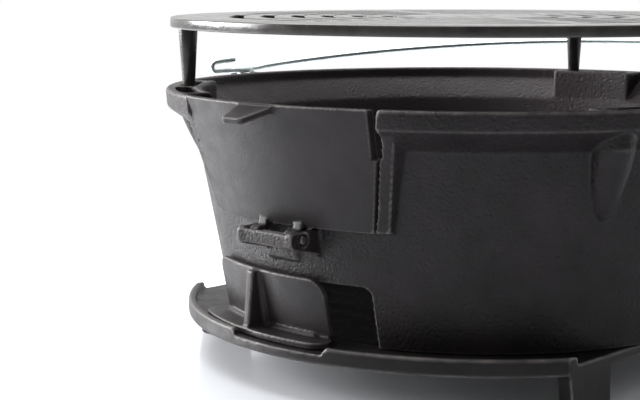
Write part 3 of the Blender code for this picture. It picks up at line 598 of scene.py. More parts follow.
@dataclass(frozen=True)
class SandCastIron:
    """Grey cast iron from a green sand mould, seasoned with burnt-on oil.

    The sand leaves a fine pebbled skin and the oil makes it near black with a low satin gloss. Its
    edges are painted a paler grey, partly as rubbing from handling and partly as a painted highlight.

    Args:
        name: The finish's name.
        dark: Colour of the oiled skin.
        pale: Colour where the skin is thin.
        rubbed_and_highlight: Colour of the paler edges, partly rubbed and partly a painted highlight.
        ash_and_inner_light_colour: Colour of the faces that look inwards, partly a film of ash and partly
            painted light.
        grain_mm: Size of the sand's grain, drawn at twice its real size so that it shows.
        grain_height_mm: Height of the grain.
        pit_spacing: Spacing of the pits, as a multiple of the grain.
        patch_mm: Size of the oil's paler patches.
        smear_mm: Size of the smears that vary gloss and the paler, partly painted-highlight edges.
        roughness: Roughness of the oiled skin.
        wear_and_highlight: How far the paler edge colour, rubbing and painted highlight, reaches, from 0 to
            1.
        rub_and_highlight_start: Sharpness of an edge, as Cycles measures it, at which the paler edge starts
            to show.
        rub_and_highlight_full: Sharpness at which it shows in full.
        specular: Strength of the oil's reflection.
        ash_and_inner_light: How far the inward faces take the paler colour of ash and painted light, from 0
            to 1.
    """

    name: str
    dark: str = "#191617"
    pale: str = "#231f20"
    rubbed_and_highlight: str = "#96918e"
    ash_and_inner_light_colour: str = "#4b4548"
    grain_mm: float = 1.5
    grain_height_mm: float = 0.45
    pit_spacing: float = 2.4
    patch_mm: float = 34.0
    smear_mm: float = 9.0
    roughness: float = 0.44
    wear_and_highlight: float = 0.70
    rub_and_highlight_start: float = 0.512
    rub_and_highlight_full: float = 0.565
    specular: float = 0.22
    ash_and_inner_light: float = 0.0

    def material(self) -> bpy.types.Material:
        """Build the material.

        Returns:
            The material.
        """
        made, tree = new_material(self.name)
        texture = add_node(tree, "ShaderNodeTexCoord").outputs
        place = texture["Object"]
        grain = noise(tree, place, self.grain_mm, 3.0, 0.55)
        pits = add_node(tree, "ShaderNodeTexVoronoi", {
            "Vector": place, "Scale": per_metre(self.grain_mm * self.pit_spacing)}).outputs["Distance"]
        patches = noise(tree, place, self.patch_mm, 4.0, 0.6)
        smears = noise(tree, place, self.smear_mm, 2.0)
        skin = blend(tree, ramp(tree, patches, 0.35, 0.68), linear(self.dark), linear(self.pale))
        # Faces that look inwards are painted paler: partly a film of ash, partly painted light inside the
        # bowl.
        outwards = add_node(tree, "ShaderNodeVectorMath", {
            0: place, 1: (1.0, 1.0, 0.0)}, operation="MULTIPLY").outputs["Vector"]
        facing = add_node(tree, "ShaderNodeVectorMath", {
            0: texture["Normal"], 1: outwards}, operation="DOT_PRODUCT").outputs["Value"]
        ash_and_inner_light_film = blend(tree, ramp(tree, facing, -0.06, 0.0, self.ash_and_inner_light, 0.0), skin, linear(self.ash_and_inner_light_colour))
        # Sharp edges are painted paler: partly rubbing from handling, partly a painted highlight along each
        # edge.
        edge = add_node(tree, "ShaderNodeNewGeometry").outputs["Pointiness"]
        worn_and_lit_edge = ramp(tree, edge, self.rub_and_highlight_start, self.rub_and_highlight_full, 0.0, self.wear_and_highlight)
        rub_and_highlight = product(tree, worn_and_lit_edge, ramp(tree, smears, 0.35, 0.62, 0.45))
        gloss = ramp(tree, smears, 0.30, 0.70, self.roughness - 0.06, self.roughness + 0.07)
        bump = add_node(tree, "ShaderNodeBump", {
            "Strength": 1.0, "Distance": self.grain_height_mm / 1000.0,
            "Height": product(tree, grain, ramp(tree, pits, 0.0, 0.35))})
        shader = add_node(tree, "ShaderNodeBsdfPrincipled", {
            "Base Color": blend(tree, rub_and_highlight, ash_and_inner_light_film, linear(self.rubbed_and_highlight)), "Roughness": gloss,
            "Specular IOR Level": self.specular, "Normal": bump.outputs["Normal"]})
        add_node(tree, "ShaderNodeOutputMaterial", {"Surface": shader.outputs["BSDF"]})
        return made


@dataclass(frozen=True)
class DrawnSteel:
    """Bright drawn steel, with fine draw lines along it and a little grey bloom.

    Args:
        name: The finish's name.
        colour: Colour of the metal.
        roughness: Roughness of the drawn skin.
        bloom_colour: Colour of the bloom.
        bloom_mm: Size of the bloom's patches.
        line_mm: Spacing of the draw lines, drawn three times coarser than real ones.
        line_height_mm: Height of the draw lines.
    """

    name: str
    colour: str
    roughness: float
    bloom_colour: str = "#8b9190"
    bloom_mm: float = 6.0
    line_mm: float = 0.5
    line_height_mm: float = 0.03

    def material(self) -> bpy.types.Material:
        """Build the material.

        Returns:
            The material.
        """
        made, tree = new_material(self.name)
        place = add_node(tree, "ShaderNodeTexCoord").outputs["Object"]
        bloom = noise(tree, place, self.bloom_mm, 3.0)
        share = ramp(tree, bloom, 0.4, 0.7, 0.0, 0.35)
        gloss = ramp(tree, bloom, 0.3, 0.7, self.roughness - 0.05, self.roughness + 0.10)
        bump = add_node(tree, "ShaderNodeBump", {
            "Strength": 0.4, "Distance": self.line_height_mm / 1000.0,
            "Height": noise(tree, place, self.line_mm, 2.0)})
        shader = add_node(tree, "ShaderNodeBsdfPrincipled", {
            "Base Color": blend(tree, share, linear(self.colour), linear(self.bloom_colour)),
            "Metallic": 1.0, "Roughness": gloss, "Normal": bump.outputs["Normal"]})
        add_node(tree, "ShaderNodeOutputMaterial", {"Surface": shader.outputs["BSDF"]})
        return made


def dress(piece: bpy.types.Object, name: str, node: str, body: str,
          material: bpy.types.Material) -> bpy.types.Object:
    """Name a finished piece, give it its finish and let it stand for its node.

    Args:
        piece: The finished piece, its place in its mesh.
        name: The piece's name.
        node: The node that it stands for.
        body: The body that it rides on.
        material: Its finish.

    Returns:
        The same object.
    """
    piece.name = name
    piece.data.name = name
    piece.data.materials.clear()
    piece.data.materials.append(material)
    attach(piece, body)
    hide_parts(node)
    LOG.info("%s: %d faces on body %s", name, len(piece.data.polygons), body)
    return piece


@dataclass(frozen=True)
class BowlForm:
    """Heights and radii of the fire bowl's wall, shared by the castings that fit it."""

    rim_z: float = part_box("fuel_door")[1].z + HAIR
    foot_z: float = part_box("fire_bowl")[0].z
    band_radius: float = 0.168
    band_height: float = 0.0095
    band_wall: float = 0.005
    band_draft: float = 0.0008
    bevel_drop: float = 0.0105
    wall_top_radius: float = 0.1522
    wall_foot_radius: float = 0.1333
    wall_thick: float = 0.005
    door_foot_z: float = 0.0855
    door_foot_radius: float = 0.1501
    ledge_height: float = 0.0415

    @property
    def band_foot_z(self) -> float:
        """Height of the band's lower edge."""
        return self.rim_z - self.band_height

    @property
    def wall_top_z(self) -> float:
        """Height at which the plain wall meets the bevel under the band."""
        return self.rim_z - self.band_height - self.bevel_drop

    @property
    def ledge_z(self) -> float:
        """Height of the ledge that carries the coal grate."""
        return self.foot_z + self.ledge_height

    def wall_radius(self, z: float) -> float:
        """Outer radius of the tapered wall at height z."""
        share = (z - self.foot_z) / (self.wall_top_z - self.foot_z)
        return self.wall_foot_radius + (self.wall_top_radius - self.wall_foot_radius) * share

    def door_radius(self, z: float) -> float:
        """Outer radius of the fuel door at height z."""
        share = (z - self.door_foot_z) / (self.rim_z - self.door_foot_z)
        return self.door_foot_radius + (self.band_radius - self.door_foot_radius) * share


@dataclass(frozen=True)
class DoorForm:
    """Front outline of the fuel door and of its way in the bowl."""

    form: BowlForm
    foot_half: float = 0.0512
    shoulder_half: float = 0.0596
    shoulder_z: float = 0.1210
    shoulder_step: float = 0.0020
    shoulder_slope: float = 0.2
    top_half: float = 0.0602
    gap: float = 0.0006
    slot_left: float = 0.0005
    slot_right: float = 0.0044

    def side(self, grow: float, foot_z: float, slot: float, over: float) -> list[Point]:
        """One side of the outline, from the foot to the rim.

        Args:
            grow: How far it stands outside the door.
            foot_z: Height of its foot.
            slot: Extra width of the neck above the shoulder.
            over: Height above the rim at which it ends.

        Returns:
            Points in X and Z.
        """
        form = self.form
        step_z = self.shoulder_z + 2.0 * grow
        slope = (self.shoulder_half - self.foot_half) / (self.shoulder_z - form.door_foot_z)
        neck = self.shoulder_half - self.shoulder_step + slot
        shoulder = self.shoulder_half + slope * (step_z - self.shoulder_z) + grow
        return [
            (self.foot_half + slope * (foot_z - form.door_foot_z) + grow, foot_z),
            (shoulder, step_z),
            (neck, step_z + abs(neck - shoulder) * self.shoulder_slope),
            (self.top_half + slot, form.rim_z + over),
        ]

    def outline(self, grow: float, foot_z: float, slots: Point = (0.0, 0.0),
                over: float = 0.004) -> list[Point]:
        """Whole outline with its two slots' widths."""
        left = self.side(grow, foot_z, slots[0], over)
        right = self.side(grow, foot_z, slots[1], over)
        return right + [(-x, z) for x, z in reversed(left)]


@dataclass(frozen=True)
class HingeForm:
    """The fuel door's pin and the parts round it."""

    pin_radius: float = 0.0022
    pin_play: float = 0.0003
    pin_edge: float = 0.0007
    pin_y: float = -0.1545
    pin_z: float = 0.0805
    cheek_inner: float = 0.0150
    cheek_thick: float = 0.0034
    cheek_reach: float = 0.0080
    cheek_rise: float = 0.0036
    cheek_drop: float = 0.0058
    cheek_root_drop: float = 0.004
    cheek_root: float = 0.7
    toe: Point = (0.002, 0.001)
    toe_edge: float = 0.0015
    toe_rise: float = 0.003
    bar_inset: float = 0.0003
    bar_thick: float = 0.0034
    bar_rise: float = 0.0030
    bar_drop: float = 0.0040
    lug_radius: float = 0.0041
    lug_width: float = 0.0054
    lug_side_gap: float = 0.0006
    lug_root_rise: float = 0.0090
    neck_setback: float = 0.0034
    neck_rise: float = 0.0060
    curl_radius: float = 0.0045
    curl_width: float = 0.0012
    curl_proud: float = 0.0010
    pad_proud: float = 0.0016
    pad_drop: float = 0.0015
    pad_height: float = 0.0064
    pad_right: float = 0.0040
    overhang: float = 0.0014

    @property
    def face_x(self) -> float:
        """Distance of the cheeks' outer faces from the middle."""
        return self.cheek_inner + self.cheek_thick

    def bore(self) -> bpy.types.Object:
        """Cutter for the pin's hole, through all that it passes."""
        ring = circle(self.pin_radius + self.pin_play, 24, (self.pin_y, self.pin_z))
        reach = self.face_x + CUT_OVER
        return prism("pin_bore", ring, -reach, reach, Axis.X)


@dataclass
class FireBowl:
    """Cast bowl with its rim band, leg sockets, door frame, hinge bracket and bail spigots."""

    form: BowlForm
    door: DoorForm
    hinge: HingeForm
    leg_angles: tuple[float, ...] = (103.5, 223.5, 343.5)
    seat_turn: float = 11.5
    seat_radius: float = 0.1567
    trough_width: float = 0.0098
    high_seat_depth: float = 0.0020
    low_seat_depth: float = 0.0255
    well_play: float = 0.0004
    socket_wall: float = 0.0034
    socket_end: float = 4.0
    socket_drop: float = 0.003
    socket_inset: float = 0.0015
    lobe_length: float = 0.0350
    lobe_half_width: float = 0.0100
    lobe_taper: float = 0.55
    lobe_inset: float = 0.0008
    lobe_rise: float = 0.0016
    lobe_cover: float = 0.002
    hollow_depth: float = 0.0088
    hollow_width: float = 0.0108
    hollow_radius: float = 0.1573
    hollow_start: float = 2.3
    hollow_end: float = 18.6
    hollow_wall: float = 1.4
    ledge_thick: float = 0.0045
    ledge_width: float = 0.0065
    band_lip_drop: float = 0.0055
    band_edge: float = 0.0011
    bevel_edge: float = 0.0022
    throat_rise: float = 0.0015
    jamb_width: float = 0.0062
    jamb_setback: float = 0.0010
    jamb_cover: float = 0.0015
    jamb_foot_over: float = 0.005
    sill_overlap: float = 0.005
    draft_half: float = 0.0422
    draft_top_z: float = 0.0570
    draft_corner: float = 0.0045
    spigot_z: float = 0.1410
    spigot_radius: float = 0.0030
    boss_radius: float = 0.0040
    boss_end: float = 0.1745
    head_radius: float = 0.0052
    head_thick: float = 0.0024
    head_edge: float = 0.0011
    head_back_edge: float = 0.0007
    skin: MouldSkin = field(default_factory=lambda: MouldSkin(grain=0.0008, rounding=6, faces=190000))

    def shell(self) -> bpy.types.Object:
        """Turned wall with its band, bevel and inner ledge, all corners rounded.

        Returns:
            The closed shell, still without its openings.
        """
        form = self.form
        rim, foot, top, ledge = form.rim_z, form.foot_z, form.wall_top_z, form.ledge_z
        thick = form.wall_thick
        ledge_foot = ledge - self.ledge_thick
        slope_foot = ledge_foot - self.ledge_width
        ledge_radius = form.wall_radius(ledge) - thick - self.ledge_width
        throat = top + self.throat_rise
        band_inner = form.band_radius - form.band_wall
        profile = rounded([
            (form.band_radius, rim, RIM_EDGE),
            (form.band_radius - form.band_draft, form.band_foot_z, self.band_edge),
            (form.wall_top_radius, top, self.bevel_edge),
            (form.wall_foot_radius, foot, EDGE),
            (form.wall_foot_radius - thick, foot, EDGE),
            (form.wall_radius(slope_foot) - thick, slope_foot, FILLET),
            (ledge_radius, ledge_foot, FINE_EDGE),
            (ledge_radius, ledge, EDGE),
            (form.wall_radius(ledge) - thick, ledge, EDGE),
            (form.wall_radius(throat) - thick, throat, FILLET),
            (band_inner, rim - self.band_lip_drop, LOOSE_EDGE),
            (band_inner, rim, RIM_EDGE),
        ])
        return turned("bowl_shell", profile)

    def sockets(self) -> list[bpy.types.Object]:
        """Filled stretches of the rim that hold the leg seats.

        Returns:
            One block for each leg.
        """
        form = self.form
        inner = self.seat_radius - self.trough_width / 2.0 - self.socket_wall
        outer = form.band_radius - form.band_wall / 2.0
        floor_z = form.wall_top_z - self.socket_drop
        top_z = form.rim_z - 2.0 * HAIR
        profile = rounded([
            (outer, top_z),
            (outer, form.band_foot_z),
            (form.wall_top_radius - OVERLAP, form.wall_top_z + OVERLAP),
            (form.wall_radius(floor_z) - self.socket_inset, floor_z),
            (inner, floor_z, EDGE),
            (inner, top_z, EDGE),
        ])
        blocks = []
        for angle in self.leg_angles:
            sweep = self.seat_turn + 2.0 * self.socket_end
            if angle == self.leg_angles[1]:
                sweep += self.hollow_end - self.socket_end + self.hollow_wall
            start = angle - self.seat_turn - self.socket_end
            blocks.append(turned("socket_block", profile, round(sweep), start, sweep))
        return blocks

    def lobes(self) -> list[bpy.types.Object]:
        """Egg-shaped bulges of the wall under the deep seats.

        Returns:
            One bulge for each leg.
        """
        form = self.form
        middle_z = form.wall_top_z + self.lobe_rise
        reach = form.band_radius - form.band_draft - self.lobe_inset - form.wall_top_radius
        lean = (form.wall_top_radius - form.wall_radius(form.wall_top_z - self.lobe_length)) / reach
        root = form.wall_thick / 2.0 / reach
        cut_z = (form.band_foot_z + self.lobe_cover - middle_z) / self.lobe_length
        eggs = []
        for angle in self.leg_angles:
            bpy.ops.object.select_all(action="DESELECT")
            bpy.ops.mesh.primitive_uv_sphere_add(segments=64, ring_count=40, radius=1.0)
            egg = bpy.context.object
            egg.name = "seat_lobe"
            for corner in egg.data.vertices:
                drop = max(-corner.co.z, 0.0)
                if corner.co.x < 0.0:
                    corner.co.x *= root
                corner.co.x = corner.co.x * (1.0 - self.lobe_taper * drop) - lean * drop
            bpy.ops.object.mode_set(mode="EDIT")
            bpy.ops.mesh.select_all(action="SELECT")
            bpy.ops.mesh.bisect(plane_co=(0.0, 0.0, cut_z), plane_no=(0.0, 0.0, 1.0), use_fill=True,
                                clear_outer=True)
            bpy.ops.object.mode_set(mode="OBJECT")
            placed(egg, move=(form.wall_top_radius, 0.0, middle_z),
                   size=(reach, self.lobe_half_width, self.lobe_length))
            placed(egg, turn=(0.0, 0.0, angle - self.seat_turn))
            close_up(egg)
            eggs.append(egg)
        return eggs

    def jamb_ring(self) -> bpy.types.Object:
        """Upright strips beside the door's way, still closed across it.

        Returns:
            The patch that holds both strips.
        """
        form = self.form
        top_z, foot_z = form.band_foot_z + self.jamb_cover, form.door_foot_z
        profile = [
            (form.door_radius(top_z) - self.jamb_setback, top_z),
            (form.door_radius(foot_z) - self.jamb_setback, foot_z),
            (form.wall_radius(foot_z) - form.wall_thick / 2.0, foot_z),
            (form.wall_radius(top_z) - form.wall_thick / 2.0, top_z),
        ]
        slots = (self.door.slot_left + self.jamb_width / 2.0, self.door.slot_right + self.jamb_width / 2.0)
        blank = self.door.outline(self.door.gap + self.jamb_width, foot_z - self.jamb_foot_over, slots)
        return front_patch("door_frame", profile, blank, 90, 30.0)

    def bracket(self) -> list[bpy.types.Object]:
        """Two cheeks and a front bar that carry the hinge pin, with a curl round the pin's end.

        Returns:
            The cheeks, the bar and the curl, not bored yet.
        """
        form, hinge = self.form, self.hinge
        back_y = -form.wall_radius(hinge.pin_z) + form.wall_thick * hinge.cheek_root
        front_y = hinge.pin_y - hinge.cheek_reach
        top_z = hinge.pin_z + hinge.cheek_rise
        foot_z = hinge.pin_z - hinge.cheek_drop
        cheek = rounded([
            (back_y, foot_z - hinge.cheek_root_drop),
            (front_y + hinge.toe[0], foot_z + hinge.toe[1], hinge.toe_edge),
            (front_y, foot_z + hinge.toe_rise, EDGE),
            (front_y, top_z, RIM_EDGE),
            (back_y, top_z),
        ])
        parts = []
        for side in SIDES:
            parts.append(prism("hinge_cheek", cheek, side * hinge.cheek_inner, side * hinge.face_x, Axis.X))
        near_y, far_y = front_y + hinge.bar_inset, front_y + hinge.bar_thick
        low_z, high_z = hinge.pin_z - hinge.bar_drop, hinge.pin_z + hinge.bar_rise
        bar = rounded([
            (near_y, low_z, FINE_EDGE),
            (far_y, low_z, FINE_EDGE),
            (far_y, high_z, FINE_EDGE),
            (near_y, high_z, FINE_EDGE),
        ])
        reach = hinge.cheek_inner + hinge.cheek_thick / 2.0
        parts.append(prism("hinge_bar", bar, -reach, reach, Axis.X))
        centre = (hinge.pin_y, hinge.pin_z)
        curl = arc(hinge.curl_radius, -85.0, 65.0, 24, centre)
        curl += arc(hinge.curl_radius - hinge.curl_width, 65.0, -85.0, 24, centre)
        curl_x = hinge.face_x + hinge.curl_proud
        parts.append(prism("hinge_curl", curl, hinge.face_x - OVERLAP, curl_x, Axis.X))
        return parts

    def pad(self) -> bpy.types.Object:
        """Low raised pad on the wall under the bracket.

        Returns:
            The pad.
        """
        form, hinge = self.form, self.hinge
        top_z = hinge.pin_z - hinge.cheek_drop - hinge.pad_drop
        foot_z = top_z - hinge.pad_height
        profile = strip(form.wall_radius, top_z, foot_z, hinge.pad_proud, form.wall_thick / 2.0)
        left = degrees(hinge.face_x / form.wall_radius(foot_z))
        right = degrees(hinge.pad_right / form.wall_radius(foot_z))
        return turned("hinge_pad", profile, 12, FRONT - left, left + right)

    def spigots(self) -> list[bpy.types.Object]:
        """Two headed spigots on the band, on the bail's axis.

        Returns:
            The left and the right spigot.
        """
        form = self.form
        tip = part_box("fire_bowl")[1].x
        head = tip - self.head_thick
        root = form.band_radius - form.band_wall / 2.0
        profile = rounded([
            (0.0, tip),
            (self.head_radius, tip, self.head_edge),
            (self.head_radius, head, self.head_back_edge),
            (self.spigot_radius, head),
            (self.spigot_radius, self.boss_end, TINY_EDGE),
            (self.boss_radius, self.boss_end - OVERLAP, TINY_EDGE),
            (self.boss_radius, root),
            (0.0, root),
        ])
        made = []
        for side in SIDES:
            spigot = turned("bail_spigot", profile, 48)
            made.append(placed(spigot, turn=(0.0, 90.0 * side, 0.0), move=(0.0, 0.0, self.spigot_z)))
        return made

    def seat_cutters(self) -> bpy.types.Object:
        """Troughs, deep wells and the hollow beside the door, as one cutter.

        Returns:
            The cutter.
        """
        rim = self.form.rim_z
        half = self.trough_width / 2.0
        above = rim + CUT_OVER
        cutters = []
        for angle in self.leg_angles:
            low = angle - self.seat_turn
            trough = slot_outline(self.seat_radius, half, low, angle, 12, 14)
            cutters.append(prism("trough", trough, rim - self.high_seat_depth, above))
            well = circle(half + self.well_play, 36, polar(self.seat_radius, low))
            cutters.append(prism("well", well, rim - self.low_seat_depth, above + OVERLAP))
        inset = degrees(self.hollow_width / 2.0 / self.hollow_radius)
        left = self.leg_angles[1]
        hollow = slot_outline(self.hollow_radius, self.hollow_width / 2.0, left + self.hollow_start + inset,
                              left + self.hollow_end - inset, 16, 14)
        cutters.append(prism("hollow", hollow, rim - self.hollow_depth, above + 2.0 * OVERLAP))
        whole = cutters[0]
        for other in cutters[1:]:
            fitted(whole, other, Fit.FUSE)
        return whole

    def build(self, iron: bpy.types.Material) -> bpy.types.Object:
        """Model the bowl and let it stand for its node.

        Args:
            iron: The finish of the casting.

        Returns:
            The bowl.
        """
        form, door = self.form, self.door
        way = door.outline(door.gap, form.door_foot_z + self.sill_overlap, (door.slot_left, door.slot_right))
        draft = rounded(mirrored([
            (self.draft_half, form.foot_z - CUT_OVER),
            (self.draft_half, self.draft_top_z, self.draft_corner),
        ]))
        opening = mirrored(door.side(door.gap / 2.0, form.door_foot_z - CUT_OVER, 0.0, 0.0)[:2])
        door_way, draft_way, frame_way = (
            prism("way", outline, CUT_NEAR_Y, CUT_FAR_Y, Axis.Y) for outline in (way, draft, opening))
        seats = self.seat_cutters()
        bore = self.hinge.bore()
        cuts = [(self.shell(), (door_way, draft_way, seats))]
        cuts += [(block, (seats, door_way)) for block in self.sockets()]
        cuts += [(egg, (seats,)) for egg in self.lobes()]
        cuts.append((self.jamb_ring(), (frame_way, door_way)))
        cuts += [(part, (bore,)) for part in self.bracket()]
        cuts += [(part, ()) for part in (self.pad(), *self.spigots())]
        for solid, cutters in cuts:
            for cutter in cutters:
                fitted(solid, cutter, Fit.CARVE, keep=True)
        for cutter in (door_way, draft_way, frame_way, seats, bore):
            bpy.data.objects.remove(cutter, do_unlink=True)
        bowl = self.skin.cast([solid for solid, cutters in cuts])
        return dress(bowl, "cast_fire_bowl", "fire_bowl", "bowl", iron)


@dataclass
class BasePlate:
    """Round footed dish with two flat sides, an upturned lip and a ring that locates the bowl."""

    form: BowlForm
    foot_height: float = 0.021
    thick: float = 0.005
    radius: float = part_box("base_plate")[1].y
    lip_thick: float = 0.004
    lip_height: float = 0.004
    flat_side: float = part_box("base_plate")[1].x
    foot_thick: float = 0.0085
    foot_inner: float = 0.054
    foot_outer: float = 0.0905
    foot_taper: float = 0.004
    rib_length: float = 0.024
    rib_thick: float = 0.006
    notch_half: float = 0.0295
    notch_ramp: float = 0.0025
    notch_lean: float = 1.5
    notch_depth: float = 0.012
    ring_height: float = 0.0035
    ring_width: float = 0.003
    ring_play: float = 0.0009
    ring_edge: float = 0.0003
    draft_half: float = 0.0422
    rake_over: float = 0.003
    rake_end_y: float = -0.09
    skin: MouldSkin = field(default_factory=lambda: MouldSkin(rounding=3))

    @property
    def top_z(self) -> float:
        """Height of the dish's floor."""
        return self.foot_height + self.thick

    @property
    def lip_top_z(self) -> float:
        """Height of the lip's top."""
        return self.top_z + self.lip_height

    @property
    def ring_outer(self) -> float:
        """Outer radius of the ring that locates the bowl."""
        return self.form.wall_foot_radius - self.form.wall_thick - self.ring_play

    def dish(self) -> bpy.types.Object:
        """Turned dish with its lip and locating ring.

        Returns:
            The dish, still round all the way.
        """
        lip_inner = self.radius - self.lip_thick
        ring_inner = self.ring_outer - self.ring_width
        ring_top = self.top_z + self.ring_height
        profile = rounded([
            (0.0, self.top_z),
            (ring_inner, self.top_z, OVERLAP),
            (ring_inner, ring_top, FINE_EDGE),
            (self.ring_outer, ring_top, FINE_EDGE),
            (self.ring_outer, self.top_z, self.ring_edge),
            (lip_inner, self.top_z, SOFT_EDGE),
            (lip_inner, self.lip_top_z, RIM_EDGE),
            (self.radius, self.lip_top_z, RIM_EDGE),
            (self.radius, self.foot_height, SOFT_EDGE),
            (0.0, self.foot_height),
        ])
        return turned("dish", profile)

    def feet(self) -> list[bpy.types.Object]:
        """Four tapered feet along the flat sides, each with a rib behind it.

        Returns:
            The feet and their ribs.
        """
        made = []
        root_z = self.foot_height + self.thick / 2.0
        middle = (self.foot_inner + self.foot_outer) / 2.0
        for side in SIDES:
            root_x = side * (self.flat_side - self.foot_thick / 2.0)
            for end in SIDES:
                outline = rounded([
                    (end * self.foot_inner, root_z),
                    (end * self.foot_outer, root_z),
                    (end * (self.foot_outer - self.foot_taper), 0.0, EDGE),
                    (end * (self.foot_inner + self.foot_taper / 2.0), 0.0, EDGE),
                ])
                inner_x = side * (self.flat_side - self.foot_thick)
                made.append(prism("foot", outline, inner_x, side * self.flat_side, Axis.X))
                rib = [(root_x, root_z), (root_x, self.foot_taper), (root_x - side * self.rib_length, root_z)]
                low = end * middle - self.rib_thick / 2.0
                made.append(prism("rib", rib, low, low + self.rib_thick, Axis.Y))
        return made

    def build(self, iron: bpy.types.Material) -> bpy.types.Object:
        """Model the plate and let it stand for its node.

        Args:
            iron: The finish of the casting.

        Returns:
            The plate.
        """
        dish = self.dish()
        reach = self.radius + 2.0 * CUT_OVER
        edge = mirrored([(reach, -CUT_OVER), (reach, 5.0 * CUT_OVER)])
        for side in SIDES:
            fitted(dish, prism("flat", edge, side * self.flat_side, side * reach, Axis.X), Fit.CARVE)
        floor_z = self.top_z + 2.0 * HAIR
        ramp_out = self.notch_half + self.notch_ramp * self.notch_lean
        notch = rounded(mirrored([
            (ramp_out, self.lip_top_z + self.notch_ramp),
            (self.notch_half, floor_z, LOOSE_EDGE),
        ]))
        notch_end = self.lip_thick + self.notch_depth - self.radius
        fitted(dish, prism("notch", notch, -reach, notch_end, Axis.Y), Fit.CARVE)
        rake = mirrored([(self.draft_half, floor_z), (self.draft_half, self.lip_top_z + 2.0 * OVERLAP)])
        rake_way = prism("rake_way", rake, -self.ring_outer - self.rake_over, self.rake_end_y, Axis.Y)
        fitted(dish, rake_way, Fit.CARVE)
        plate = self.skin.cast([dish] + self.feet())
        return dress(plate, "cast_base_plate", "base_plate", "base", iron)


@dataclass
class FuelDoor:
    """Curved door with its pull tab, two hinge lugs and the steel pin through them."""

    form: BowlForm
    door: DoorForm
    hinge: HingeForm
    thick: float = 0.005
    tab_root: float = 0.6
    tab_reach: float = 0.0165
    tab_root_half: float = 0.0123
    tab_tip_half: float = 0.0060
    tab_tip_edge: float = 0.0018
    tab_thick: float = 0.0034
    tab_slope: float = 17.0
    lug_foot_rise: float = 0.0005
    lug_roots: Point = (0.25, 0.75)
    skin: MouldSkin = field(default_factory=lambda: MouldSkin(grain=0.00062, rounding=3, faces=120000))

    def leaf(self) -> bpy.types.Object:
        """Curved leaf cut to the door's outline.

        Returns:
            The leaf.
        """
        form = self.form
        profile = strip(form.door_radius, form.rim_z, form.door_foot_z, 0.0, self.thick)
        outline = self.door.outline(0.0, form.door_foot_z - HAIR, over=-HAIR)
        return front_patch("door_leaf", profile, outline, 90, 30.0)

    def tab(self) -> bpy.types.Object:
        """Tapered pull tab that slopes down from the door's top edge.

        Returns:
            The tab.
        """
        root_y = -self.form.band_radius + self.thick * self.tab_root
        tip_y = -self.form.band_radius - self.tab_reach
        top = self.form.rim_z - HAIR
        outline = rounded(mirrored([
            (self.tab_root_half, root_y),
            (self.tab_tip_half, tip_y, self.tab_tip_edge),
        ]))
        tab = prism("door_tab", outline, top - self.tab_thick, top)
        pivot_z = top - 4.0 * HAIR
        placed(tab, move=(0.0, -root_y, -pivot_z))
        return placed(tab, turn=(self.tab_slope, 0.0, 0.0), move=(0.0, root_y, pivot_z))

    def lugs(self) -> list[bpy.types.Object]:
        """Two lugs at the door's foot, bored for the pin.

        Returns:
            The left and the right lug.
        """
        form, hinge = self.form, self.hinge
        root_z = hinge.pin_z + hinge.lug_root_rise
        root_near, root_far = (-form.door_radius(root_z) + self.thick * share for share in self.lug_roots)
        foot_y = -form.door_radius(form.door_foot_z) + self.thick - 4.0 * HAIR
        outline = [(root_far, root_z), (foot_y, form.door_foot_z + self.lug_foot_rise)]
        outline += arc(hinge.lug_radius, 300.0, 50.0, 25, (hinge.pin_y, hinge.pin_z))
        outline += [(hinge.pin_y + hinge.neck_setback, hinge.pin_z + hinge.neck_rise), (root_near, root_z)]
        made = []
        for side in SIDES:
            far = side * (hinge.cheek_inner - hinge.lug_side_gap)
            lug = prism("door_lug", outline, far - side * hinge.lug_width, far, Axis.X)
            made.append(fitted(lug, hinge.bore(), Fit.CARVE))
        return made

    def build(self, iron: bpy.types.Material) -> bpy.types.Object:
        """Model the door and let it stand for its node."""
        door = self.skin.cast([self.leaf(), self.tab()] + self.lugs())
        return dress(door, "cast_fuel_door", "fuel_door", "door", iron)

    def build_pin(self, steel: bpy.types.Material) -> bpy.types.Object:
        """Turn the hinge pin and let it stand for its node.

        Args:
            steel: The finish of the pin.

        Returns:
            The pin.
        """
        hinge = self.hinge
        half = hinge.face_x + hinge.overhang
        profile = rounded([
            (0.0, half),
            (hinge.pin_radius, half, hinge.pin_edge),
            (hinge.pin_radius, -half, hinge.pin_edge),
            (0.0, -half),
        ])
        pin = placed(turned("pin", profile, 48), turn=(0.0, 90.0, 0.0), move=(0.0, hinge.pin_y, hinge.pin_z))
        return dress(smoothed(pin), "turned_hinge_pin", "door_hinge_pin", "bowl", steel)


